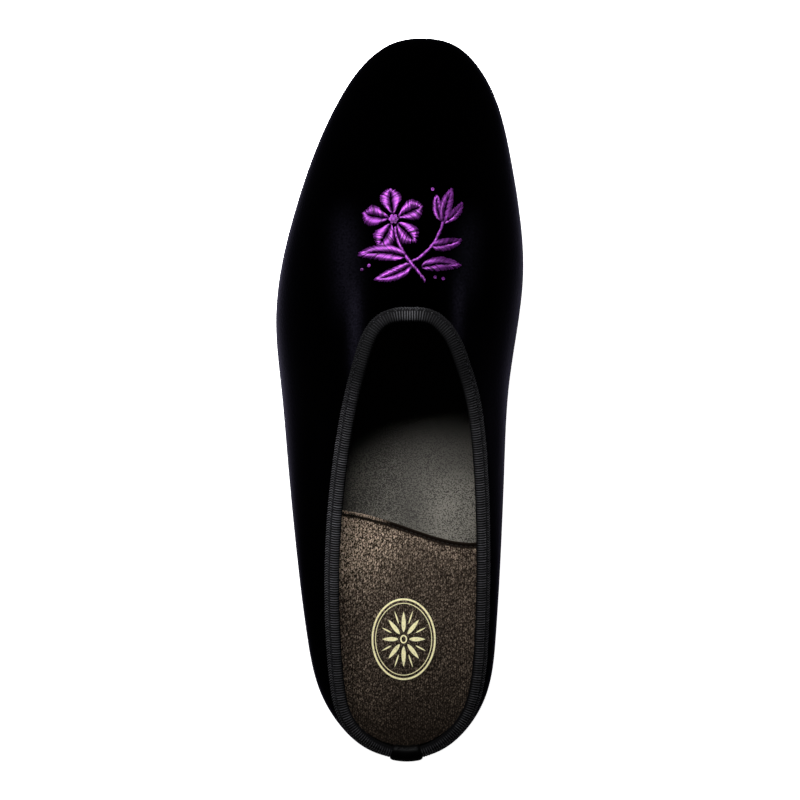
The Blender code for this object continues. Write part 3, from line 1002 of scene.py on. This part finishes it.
def build_heel_tab(look):
    """Leather tab folded over the ribbon's ends, thinned at its edges and stitched through."""
    clear = GAP + RIBBON_THICK + GAP
    across, outer_rows, fold_rows, inner_rows = TAB_STEPS
    columns = np.linspace(-1, 1, across)[:, None]
    down = np.linspace(TAB_OUTER_LEG, TAB_BEND, outer_rows)
    turn = np.linspace(0, math.pi, fold_rows)
    back = np.linspace(TAB_BEND, TAB_INNER_LEG, inner_rows)
    depth = np.concatenate((down, np.full_like(turn, FOLD_DEPTH), back))
    side = np.concatenate((np.ones_like(down), np.cos(turn), -np.ones_like(back)))
    over = np.concatenate((np.zeros_like(down), np.sin(turn), np.zeros_like(back)))
    from_end = np.where(side > 0, TAB_OUTER_LEG, TAB_INNER_LEG) - depth
    from_edge = np.minimum((1 - np.abs(columns)) * TAB_WIDTH / 2, from_end)
    thick = TAB_THICK * (TAB_EDGE + (1 - TAB_EDGE) * np.sqrt(np.clip(from_edge / TAB_SKIVE, 0, 1)))
    tuck = TAB_TUCK * ease((depth - RIBBON_LEG) / (TAB_INNER_LEG - RIBBON_LEG))
    faces = []
    for share in (1, 0):
        radius = WALL / 2 + clear + thick * share - tuck
        faces.append(skin(columns * TAB_WIDTH / 2, depth - radius * over, side * radius - WALL / 2))
    outer, inner = faces
    ring = np.concatenate((outer, inner[:, ::-1], outer[:, :1]), axis=1)
    leather = dyed_leather("matt_calf", look.tab_colour, gloss=0, grain=0.5)
    place_piece(add_piece("heel_tab_leather", [ring], [leather], fill=True), "tab_leather", "heel_tab")

    pitch = TAB_STITCH_PITCH
    begin = np.arange(-TAB_WIDTH / 2 + pitch / 2, TAB_WIDTH / 2 - pitch, pitch)
    radius = WALL / 2 + clear + TAB_THICK
    on_tab, above = (over_fold(r, TAB_STITCH_ANGLE) for r in (radius, 2 * radius))
    starts, ends = skin(begin, *on_tab), skin(begin + STITCH_SHARE * pitch, *on_tab)
    thread = sewing_thread("waxed_tab_thread", look.thread_colour)
    sew("heel_tab_stitches", "tab_leather", thread, starts, ends, unit(skin(begin, *above) - starts))


# Sock: rounding of its top edge across and down, and share of its light colour on its sides
SOCK_ROUND = (0.3 * MM, 0.25 * MM)
SOCK_SIDE_SHADE = 0.5

# Darker band along the sock: middle and half width, and how much darker
DARK_BAND = (5 * MM, 9 * MM)
BAND_DEPTH = 0.55

# Painted shadow on the sock's inner front: places across and stations between which it turns darker, and
# how much
FRONT_SHADOW_ACROSS = (8 * MM, 18 * MM)
FRONT_SHADOW_ALONG = (107 * MM, 120 * MM)
FRONT_SHADOW_DEPTH = 0.6

# Painted shadow of the throat on the sock: share of light left by station in mm, and how far that leans
# back on the outer side
SOCK_PAINTED_SHADOW = ((104, 1), (113, 0.92), (121, 0.78), (125, 0.6), (129, 0.32), (131, 0.1), (133, 0))
SOCK_SHADOW_LEAN = 0.4

# Painted shade beside the outer wall, a dark strip: its edge by station and place across in mm, and its width
SHADE_STRIP_EDGE = ((105, -24), (133, -20.5))
SHADE_STRIP_WIDTH = 5 * MM


def build_insole(look):
    """Footbed covered in grey sock leather."""
    girths = TOE * crowded(SLAB_STEPS)
    top = slab_level(girths, INSOLE_INSET + SOCK_ROUND[0], insole_top)
    edge = slab_level(girths, INSOLE_INSET, lambda y: insole_top(y) - SOCK_ROUND[1])
    bottom = slab_level(girths, INSOLE_FOOT_INSET, lambda y: bed(y) + GAP)
    sides = np.array([rim(level) for level in (top, edge, bottom)])
    x, station = top[..., 0], top[..., 1] + LENGTH / 2
    # Shade of the sock: a darker band, painted shadow of the throat and painted shade by the outer wall
    shade = 1 - BAND_DEPTH * np.exp(-((x - DARK_BAND[0]) / DARK_BAND[1]) ** 2)
    shade *= 1 - FRONT_SHADOW_DEPTH * between(x, FRONT_SHADOW_ACROSS) * between(station, FRONT_SHADOW_ALONG)
    shade *= from_table((station - SOCK_SHADOW_LEAN * np.minimum(x, 0)) / MM, SOCK_PAINTED_SHADOW)
    shade *= ease((x - MM * from_table(station / MM, SHADE_STRIP_EDGE)) / SHADE_STRIP_WIDTH)
    piece = add_piece("sock_insole", [top, bottom, sides], [sock_leather(look)],
                      [shade, SOCK_SIDE_SHADE, SOCK_SIDE_SHADE])
    place_piece(piece, "sock_leather", "insole")


# Heel pad's mesh: steps behind its front edge, how they crowd at the back and the share of the way that they
# reach, then the steps of the front edge, the share where they begin, and the columns across
PAD_BACK_STEPS = 410
PAD_CROWDING = 1.15
PAD_BACK_REACH = 0.95
PAD_FRONT_STEPS = 40
PAD_FRONT_BEGIN = 0.945
PAD_COLUMNS = 205

# From the pad's front edge back: rounding, stitched channel, pitch and length of the stitches in it, where
# the pebbles begin and how softly
LIP_ROUND = 0.5 * MM
CHANNEL = 1.5 * MM
CHANNEL_WIDTH = 0.65 * MM
CHANNEL_DEPTH = 0.45 * MM
PAD_STITCH = (1.9 * MM, 1 * MM)
PEBBLES_BEGIN = 2.2 * MM
PEBBLES_EASE = 0.6 * MM

# Painted highlight on the plain lip: its share of light and the places across between which it begins;
# share of light on the pad's sides, low as painted shade
LIP_HIGHLIGHT = 0.9
LIP_HIGHLIGHT_ACROSS = (-3 * MM, -12 * MM)
PAD_SIDE_SHADE = 0.03

# Painted light on the pad, brighter to the front and outer side and falling off to the heel: station in mm,
# shade on the outer and on the inner side; then the places across between which it turns
PAD_PAINTED_LIGHT = ((10, 0.05, 0.04), (31, 0.25, 0.13), (60, 0.33, 0.23), (74, 0.85, 0.2), (89, 1.6, 0.42))
PAD_LIGHT_ACROSS = (4 * MM, -24 * MM)

# Pebbles of the pad: how far they stray from their rows and their least height, as shares, their half width,
# the height below which they are as dark as the pits, and the cells left free round the pad
PEBBLE_SHAKE = 0.22
PEBBLE_LEAST = 0.55
PEBBLE_REACH = 0.55
PIT = 0.2
PEBBLE_MARGIN = 2


def pebbles(points, size):
    """Height share of a pebbled grain: domes of uneven height in staggered, shaken rows."""
    random = np.random.default_rng(SEED)
    cell = (points[..., :2] - points[..., :2].min(axis=(0, 1))) / size + PEBBLE_MARGIN
    count = cell.max(axis=(0, 1)).astype(int) + PEBBLE_MARGIN + 1
    shake = random.uniform(-PEBBLE_SHAKE, PEBBLE_SHAKE, (*count, 2))
    tall = random.uniform(PEBBLE_LEAST, 1, count)
    height = np.zeros(cell.shape[:-1])
    for step in np.ndindex(3, 3):
        near = cell.astype(int) + step - 1
        index = near[..., 0], near[..., 1]
        middle = near + shake[index] + 0.5
        middle[..., 1] += near[..., 0] % 2 / 2
        reach = np.linalg.norm(cell - middle, axis=-1) / PEBBLE_REACH
        height = np.maximum(height, tall[index] * np.sqrt(np.clip(1 - reach * reach, 0, 1)))
    return height


def build_heel_pad(look):
    """Pebbled leather pad with a plain, stitched front edge."""
    shares = np.concatenate((np.linspace(0, PAD_BACK_REACH, PAD_BACK_STEPS) ** PAD_CROWDING,
                             np.linspace(PAD_FRONT_BEGIN, 1, PAD_FRONT_STEPS)))
    girths = rear_girths(PAD_FRONT[-1][1] * MM, shares)
    level = slab_level(girths, PAD_INSET + PAD_ROUND, pad_top, pad_front, PAD_COLUMNS)
    behind = pad_front(np.linspace(0, 1, PAD_COLUMNS + 1)) - LENGTH / 2 - level[..., 1]
    pressed = ease((behind - PEBBLES_BEGIN) / PEBBLES_EASE)
    grain = pebbles(level, (look.pebble_width, look.pebble_length))
    lip = np.sqrt(1 - np.clip(1 - behind / LIP_ROUND, 0, 1) ** 2)
    channel = np.exp(-((behind - CHANNEL) / CHANNEL_WIDTH) ** 2)
    level[..., 2] -= look.pebble_height * (1 - grain) * pressed
    level[..., 2] -= CHANNEL_DEPTH * channel + PAD_ROUND * (1 - lip)
    skirt = slab_level(girths, PAD_INSET, lambda y: insole_top(y) + GAP, pad_front, PAD_COLUMNS)
    shoulder = rim(skirt) + (0, 0, PAD_THICK - 2 * PAD_ROUND)
    sides = np.array([rim(level), shoulder, rim(skirt)])
    stations, *shades = np.array(PAD_PAINTED_LIGHT).T
    outer, inner = (np.interp((level[..., 1] + LENGTH / 2) / MM, stations, shade) for shade in shades)
    # Painted light: brighter to the front and outer side, falling off to the heel
    painted_pad_light = inner + (outer - inner) * between(level[..., 0], PAD_LIGHT_ACROSS)
    tops = np.clip((grain - PIT) / (1 - PIT), 0, 1)
    # Painted highlight on the outer part of the plain lip
    plain = between(level[..., 0], LIP_HIGHLIGHT_ACROSS) * lip * ease((CHANNEL - behind) / CHANNEL_WIDTH)
    shade = (LIP_HIGHLIGHT * plain + tops * pressed) * painted_pad_light
    shades = [shade, PAD_SIDE_SHADE]
    piece = add_piece("embossed_heel_pad", [level, sides], [pad_leather(look)], shades, fill=True)
    place_piece(piece, "pad_leather", "heel_pad")

    path = level[-1].copy()
    path[:, 1] -= CHANNEL
    path[:, 2] = pad_top(path[:, 1]) - CHANNEL_DEPTH + STITCH_RADIUS
    lengths = lengths_along(path)
    pitch, length = PAD_STITCH
    begin = np.arange(pitch / 2, lengths[-1] - pitch, pitch)
    starts, ends = (points_at(path, lengths, begin + step) for step in (0, length))
    thread = sewing_thread("pad_thread", look.thread_colour)
    sew("heel_pad_stitches", "pad_leather", thread, starts, ends, np.tile((0.0, 0.0, 1.0), (len(begin), 1)))


# Foil ornament: centre from the shoe's axis and back and half sizes in mm, thickness, how far it is sunk in
FOIL_CENTRE = (1.6, 49.0)
FOIL_HALF_SIZE = (12.5, 16.0)
FOIL_THICK = 0.06 * MM
FOIL_SUNK = FOIL_THICK / 3

# Ovals as share of the size and line width; rays as start, end and width, in turn, their number, and the
# power that makes them fullest past the middle and blunt at the ends; points of each line
OVALS = ((1.0, 0.75), (0.9, 0.3), (0.09, 0.55))
RAYS = ((2.2, 8.6, 1.7), (5.2, 9.6, 0.6))
RAY_COUNT = 16
RAY_POWER = 0.8
OVAL_POINTS = 121
RAY_POINTS = 25


def foil_line(points, width):
    """Strip of foil on the heel pad along points from the ornament's centre, in mm, with its widths in mm."""
    flat = (np.array(FOIL_CENTRE) + points) * MM - (0, LENGTH / 2)
    path = raised(flat, lambda y: pad_top(y) - FOIL_SUNK)
    return strip(path, np.tile((0.0, 0.0, 1.0), (len(path), 1)), width * MM, FOIL_THICK)


def build_foil(look):
    """Plain stamped ornament: a rosette in a double oval."""
    half_size = np.array(FOIL_HALF_SIZE)
    turn = np.linspace(0, 2 * math.pi, OVAL_POINTS)
    oval = directions(turn) * half_size
    sheets = [foil_line(oval * size, np.full(len(turn), width)) for size, width in OVALS]
    share = np.linspace(0, 1, RAY_POINTS)
    ray_shape = np.sin(math.pi * share ** RAY_POWER) ** RAY_POWER
    for ray in range(RAY_COUNT):
        way = directions(2 * math.pi * ray / RAY_COUNT) * half_size / half_size[0]
        begin, end, width = RAYS[ray % len(RAYS)]
        reach = begin + (end - begin) * share[:, None]
        sheets.append(foil_line(way * reach, width * ray_shape))
    place_piece(add_piece("foil_ornament", sheets, [gold_foil(look)], fill=True), "pad_leather")


# Sprig in mm from its centre, across and along the shoe. Blossom: centre, start and end of its petals, bend
# as a share of the length, half width, where they are fullest (above 1 nearer the tip), their number and the
# first one's angle
BLOSSOM = (-6.0, 5.6)
PETAL = (2.3, 12.6, 0.04, 4.3, 1.5)
PETALS = 5
FIRST_PETAL = 97 * DEGREE

# Leaves and the bud's petals, each of two halves: base, tip, sideways bend as a share of the length, half
# width, where it is fullest
LEAVES = (
    (-1.4, -9.4, -20.2, -8.8, -0.15, 3.2, 0.85),
    (1.0, -12.6, -13.6, -18.4, 0.13, 2.6, 0.85),
    (5.0, -13.6, 20.4, -13.0, 0.13, 2.8, 0.85),
    (9.0, -5.0, 20.8, -2.4, -0.12, 2.5, 0.85),
    (13.4, 4.6, 17.0, 18.0, 0.08, 2.4, 0.95),
    (12.8, 5.0, 11.0, 15.4, 0.16, 1.7, 0.95),
    (14.2, 4.4, 21.0, 12.6, -0.16, 1.7, 0.95),
)

# Half the gap between a leaf's halves, power that makes its ends blunt, how far the threads slant to its tip
# or across a stem, as a share of its length, and points along its line
VEIN = 0.2
LEAF_POWER = 0.7
LEAF_SLANT = 0.09
STEM_SLANT = 0.03
LINE_POINTS = 120

# Stems as cubic curves through four control points, then half width
STEMS = (
    ((-5.5, 2.8), (-5.0, -6.0), (0.0, -11.0), (6.6, -19.2), 0.6),
    ((0.4, -11.6), (6.4, -9.2), (11.6, -3.4), (13.4, 4.8), 0.55),
)

# Knots beside the stems and in the blossom's heart: places, then the coil of a knot in mm with its radius,
# turns, rise and points
KNOTS_ON_CLOTH = ((-15.6, -13.0), (-18.4, -14.6), (9.4, 17.6), (10.2, -17.6), (13.4, -18.2))
HEART_KNOTS = 6
HEART_RADIUS = 1.35
KNOT_RADIUS = (0.6, 0.18)
KNOT_TURNS = 1.7
KNOT_RISE = (0.15, 0.75)
KNOT_POINTS = 30

# Threads: points along each, how far their ends stray, height of their arch as a share of their span and its
# least value
THREAD_POINTS = 9
THREAD_SHAKE = 0.12
DOME_SHARE = 0.28
DOME_LEAST = 0.3 * MM


def edge_pair(line, reach):
    """Lines at both sides of a line in plan, reach away from it."""
    way = unit(np.gradient(line, axis=0))
    left = np.stack((-way[:, 1], way[:, 0]), axis=1)
    return line + left * reach, line - left * reach


def satin(edge, other, slant, spacing):
    """Ends of satin threads across an area between two edges, both from base to tip."""
    length = np.sum(np.linalg.norm(np.diff((edge + other) / 2, axis=0), axis=1))
    count = max(int(length / spacing), 2)
    along = np.linspace(0, 1, len(edge))
    middle = (np.arange(count) + 0.5) / count
    sides = ((edge, middle - slant), (other, middle + slant))
    return np.stack([points_at(line, along, np.clip(share, 0, 1)) for line, share in sides], axis=1)


def sprig_threads(spacing):
    """Ends of all satin threads of the sprig, in mm from its centre."""
    share = np.linspace(0, 1, LINE_POINTS)[:, None]
    leaves = list(LEAVES)
    begin, end, *form = PETAL
    for petal in range(PETALS):
        way = directions(FIRST_PETAL + petal * 2 * math.pi / PETALS)
        leaves.append((*(BLOSSOM + way * begin), *(BLOSSOM + way * end), *form))
    threads = []
    for x0, y0, x1, y1, bend, half_width, fullest in leaves:
        base, tip = np.array((x0, y0)), np.array((x1, y1))
        middle = (base + tip) / 2 + np.array((y0 - y1, x1 - x0)) * bend
        line = on_curve((base, (base + 2 * middle) / 3, (tip + 2 * middle) / 3, tip), share)
        shape = np.clip(np.sin(math.pi * share ** fullest), 0, 1) ** LEAF_POWER * half_width
        for vein, edge in zip(edge_pair(line, VEIN), edge_pair(line, VEIN + shape)):
            threads.append(satin(vein, edge, LEAF_SLANT, spacing))
    for *controls, half_width in STEMS:
        line = on_curve(np.array(controls), share)
        threads.append(satin(*edge_pair(line, half_width), STEM_SLANT, spacing))
    return np.concatenate(threads)


def on_vamp(points, velvet):
    """Places and normals on the velvet under points in plan."""
    places, normals = [], []
    for x, y in points.reshape(-1, 2):
        found, place, normal, _ = velvet.ray_cast((x, y, LENGTH), (0, 0, -1))
        if not found:
            raise RuntimeError(f"no velvet under the embroidery at {x:.4f}, {y:.4f}")
        places.append(place)
        normals.append(normal)
    shape = (*points.shape[:-1], 3)
    return np.array(places).reshape(shape), np.array(normals).reshape(shape)


def build_embroidery(look):
    """Purple satin-stitch sprig: a blossom, a bud and leaves on curved stems."""
    velvet = bpy.data.objects["velvet_upper"]
    bpy.context.view_layer.update()
    random = np.random.default_rng(SEED)
    origin = np.array((look.centre_x, look.centre_station - LENGTH / 2))
    ends = sprig_threads(look.spacing / MM)
    ends = (ends + random.normal(0, THREAD_SHAKE, ends.shape)) * MM
    share = np.linspace(0, 1, THREAD_POINTS)[:, None]
    places, normals = on_vamp(ends[:, :1] + (ends[:, 1:] - ends[:, :1]) * share + origin, velvet)
    span = np.linalg.norm(ends[:, 1] - ends[:, 0], axis=1)[:, None, None]
    dome = np.clip(DOME_SHARE * span, DOME_LEAST, look.padding) * np.sqrt(1 - (2 * share - 1) ** 2)
    sheets = tubes(places + normals * (dome - look.radius / 2), normals, look.radius)

    radius, rise = (np.linspace(*limits, KNOT_POINTS)[:, None] for limits in (KNOT_RADIUS, KNOT_RISE))
    coil = directions(np.linspace(0, 2 * math.pi * KNOT_TURNS, KNOT_POINTS)) * radius
    heart = directions(np.linspace(0, 2 * math.pi, HEART_KNOTS, endpoint=False))
    heart = BLOSSOM + HEART_RADIUS * heart
    for knot in (*heart, BLOSSOM, *KNOTS_ON_CLOTH):
        places, normals = on_vamp((knot + coil) * MM + origin, velvet)
        sheets += tubes((places + normals * rise * MM)[None], normals[None], look.radius)
    shades = list(random.uniform(0, 1, len(sheets)))
    place_piece(add_piece("satin_stitch_sprig", sheets, [rayon_thread(look)], shades), "velvet")


def build_outsole(look):
    """Leather sole with rounded edges."""
    girths = TOE * crowded(SLAB_STEPS)
    angles = np.linspace(90, 0, EDGE_STEPS) * DEGREE
    levels = [(OUTSOLE_ROUND * (1 - math.cos(a)), OUTSOLE_ROUND * (1 - math.sin(a))) for a in angles]
    down = [slab_level(girths, inset, lambda y, d=drop: bed(y) - d) for inset, drop in levels]
    up = [slab_level(girths, inset, lambda y, d=drop: sole_bottom(y) + d) for inset, drop in levels[::-1]]
    sides = np.array([rim(level) for level in down + up])
    leather = dyed_leather("sole_leather", look.sole_colour, gloss=0.15, grain=0.8)
    piece = add_piece("leather_outsole", [down[0], up[-1], sides], [leather])
    place_piece(piece, "sole_leather", "outsole")


# Groove at the heel's joints, and mesh steps along the heel
LIFT_GROOVE = 0.18 * MM
HEEL_STEPS = 70


def build_heel(look):
    """Stacked heel: layers of leather on a rubber top piece, with a fine groove at each joint."""
    def breast(share):
        return BREAST_STATION - BREAST_HOLLOW * (1 - (2 * share - 1) ** 2)

    girths = rear_girths(BREAST_STATION, np.linspace(0, 1, HEEL_STEPS) ** REAR_CROWDING)

    def level(height, extra):
        inset = HEEL_INSET + HEEL_TAPER * (1 - height / HEEL_HEIGHT) + extra
        return slab_level(girths, inset, lambda y: np.full_like(y, height), breast)

    joints = np.arange(HEEL_HEIGHT - look.lift_height, look.lift_height / 2, -look.lift_height)
    stack = [level(HEEL_HEIGHT, 0)]
    for joint in joints:
        stack += [level(joint + LIFT_GROOVE, 0), level(joint, LIFT_GROOVE)]
        if joint != joints[-1]:
            stack.append(level(joint - LIFT_GROOVE, 0))
    top_piece = [stack[-1], level(joints[-1] - LIFT_GROOVE, 0), level(HEEL_ROUND, 0)]
    top_piece += [level(HEEL_ROUND / 3, HEEL_ROUND / 3), level(0, HEEL_ROUND)]
    leather = dyed_leather("stacked_leather", look.heel_colour, gloss=0.3, grain=0.7)
    rubber = dyed_leather("moulded_rubber", look.top_piece_colour, gloss=0, grain=0.6)
    sheets = [stack[0], np.array([rim(grid) for grid in stack]),
              np.array([rim(grid) for grid in top_piece]), top_piece[-1]]
    piece = add_piece("stacked_heel", sheets, [leather, leather, rubber, rubber])
    place_piece(piece, "heel_leather", "heel")


# Stage

# Oval soft box with a grid, beyond the toe on the outer side: the throat's shadow has a soft edge on the
# sock, and the heel is darker
KEY_PLACE = (-0.12, 0.335, 0.336)
KEY_TARGET = (-0.12, 0.18, -0.14)
KEY_SIZE = (0.436, 0.195)
KEY_SPREAD = 100 * DEGREE

# Half width of the table, size of the clouds in it in mm, and the camera's place over it
TABLE_HALF = 4.0
TABLE_CLOUD = 500
CAMERA_PLACE = (0.14 * MM, -0.15 * MM)


def add_soft_box(energy):
    """Soft box that faces its target, with a grid that narrows its beam."""
    light = bpy.data.lights.new("soft_box", "AREA")
    light.shape = "ELLIPSE"
    light.size, light.size_y = KEY_SIZE
    light.spread = KEY_SPREAD
    light.energy = energy
    lamp = bpy.data.objects.new("soft_box", light)
    lamp.location = KEY_PLACE
    lamp.visible_camera = False
    lamp.rotation_mode = "QUATERNION"
    lamp.rotation_quaternion = (Vector(KEY_PLACE) - Vector(KEY_TARGET)).to_track_quat("Z", "Y")
    bpy.context.scene.collection.objects.link(lamp)


def build_stage(look):
    """White lit table, a soft box beyond the toe and even fill."""
    scene = bpy.context.scene
    scene.view_settings.view_transform = "Standard"
    corners = TABLE_HALF * np.array([[(-1, -1, 0), (1, -1, 0)], [(-1, 1, 0), (1, 1, 0)]])
    table = add_piece("table_top", [corners], [white_acrylic(look)])
    table.visible_glossy = False

    world = bpy.data.worlds.new("studio")
    world.use_nodes = True
    sky = world.node_tree.nodes["Background"]
    sky.inputs["Color"].default_value = (1, 1, 1, 1)
    sky.inputs["Strength"].default_value = look.fill
    scene.world = world
    add_soft_box(look.key_energy)

    camera = bpy.data.objects.new("camera", bpy.data.cameras.new("camera"))
    camera.location = (*CAMERA_PLACE, look.camera_height)
    camera.data.lens = look.lens
    scene.collection.objects.link(camera)
    scene.camera = camera


# Operators, panel and run


class MULE_OT_upper(bpy.types.Operator):
    """Build the velvet upper with its lining and soft folds"""

    bl_idname = "mule.upper"
    bl_label = "Upper"

    def execute(self, context):
        build_upper(context.scene.mule_upper)
        return {"FINISHED"}


class MULE_OT_binding(bpy.types.Operator):
    """Build the ribbon round the foot opening and its stitches"""

    bl_idname = "mule.binding"
    bl_label = "Binding"

    def execute(self, context):
        build_binding(context.scene.mule_ribbon)
        return {"FINISHED"}


class MULE_OT_heel_tab(bpy.types.Operator):
    """Build the leather tab at the back and its stitches"""

    bl_idname = "mule.heel_tab"
    bl_label = "Heel tab"

    def execute(self, context):
        build_heel_tab(context.scene.mule_ribbon)
        return {"FINISHED"}


class MULE_OT_footbed(bpy.types.Operator):
    """Build the sock, the heel pad and the foil ornament"""

    bl_idname = "mule.footbed"
    bl_label = "Footbed"

    def execute(self, context):
        build_insole(context.scene.mule_footbed)
        build_heel_pad(context.scene.mule_footbed)
        build_foil(context.scene.mule_footbed)
        return {"FINISHED"}


class MULE_OT_embroidery(bpy.types.Operator):
    """Embroider the sprig on the vamp"""

    bl_idname = "mule.embroidery"
    bl_label = "Embroidery"

    def execute(self, context):
        build_embroidery(context.scene.mule_embroidery)
        return {"FINISHED"}


class MULE_OT_sole(bpy.types.Operator):
    """Build the outsole and the heel"""

    bl_idname = "mule.sole"
    bl_label = "Sole and heel"

    def execute(self, context):
        build_outsole(context.scene.mule_sole)
        build_heel(context.scene.mule_sole)
        return {"FINISHED"}


class MULE_OT_stage(bpy.types.Operator):
    """Set the table, the light and the camera"""

    bl_idname = "mule.stage"
    bl_label = "Stage"

    def execute(self, context):
        build_stage(context.scene.mule_stage)
        return {"FINISHED"}


SETTINGS = {
    "mule_upper": MuleUpperSettings,
    "mule_ribbon": MuleRibbonSettings,
    "mule_embroidery": MuleEmbroiderySettings,
    "mule_footbed": MuleFootbedSettings,
    "mule_sole": MuleSoleSettings,
    "mule_stage": MuleStageSettings,
}
OPERATORS = (
    MULE_OT_stage,
    MULE_OT_upper,
    MULE_OT_binding,
    MULE_OT_heel_tab,
    MULE_OT_footbed,
    MULE_OT_embroidery,
    MULE_OT_sole,
)


class MULE_PT_sidebar(bpy.types.Panel):
    """Settings and steps of the mule"""

    bl_label = "Velvet mule"
    bl_space_type = "VIEW_3D"
    bl_region_type = "UI"
    bl_category = "Mule"

    def draw(self, context):
        for operator in OPERATORS:
            self.layout.operator(operator.bl_idname)
        for attribute in SETTINGS:
            box = self.layout.box()
            group = getattr(context.scene, attribute)
            for name in group.__annotations__:
                box.prop(group, name)


def register():
    for group in SETTINGS.values():
        bpy.utils.register_class(group)
    for attribute, group in SETTINGS.items():
        setattr(bpy.types.Scene, attribute, PointerProperty(type=group))
    for cls in (*OPERATORS, MULE_PT_sidebar):
        bpy.utils.register_class(cls)


def unregister():
    for cls in (MULE_PT_sidebar, *reversed(OPERATORS)):
        bpy.utils.unregister_class(cls)
    for attribute in SETTINGS:
        delattr(bpy.types.Scene, attribute)
    for group in SETTINGS.values():
        bpy.utils.unregister_class(group)


def main():
    register()
    bpy.ops.mule.stage()
    bpy.ops.mule.upper()
    bpy.ops.mule.binding()
    bpy.ops.mule.heel_tab()
    bpy.ops.mule.footbed()
    bpy.ops.mule.embroidery()
    bpy.ops.mule.sole()


if __name__ == "__main__":
    main()
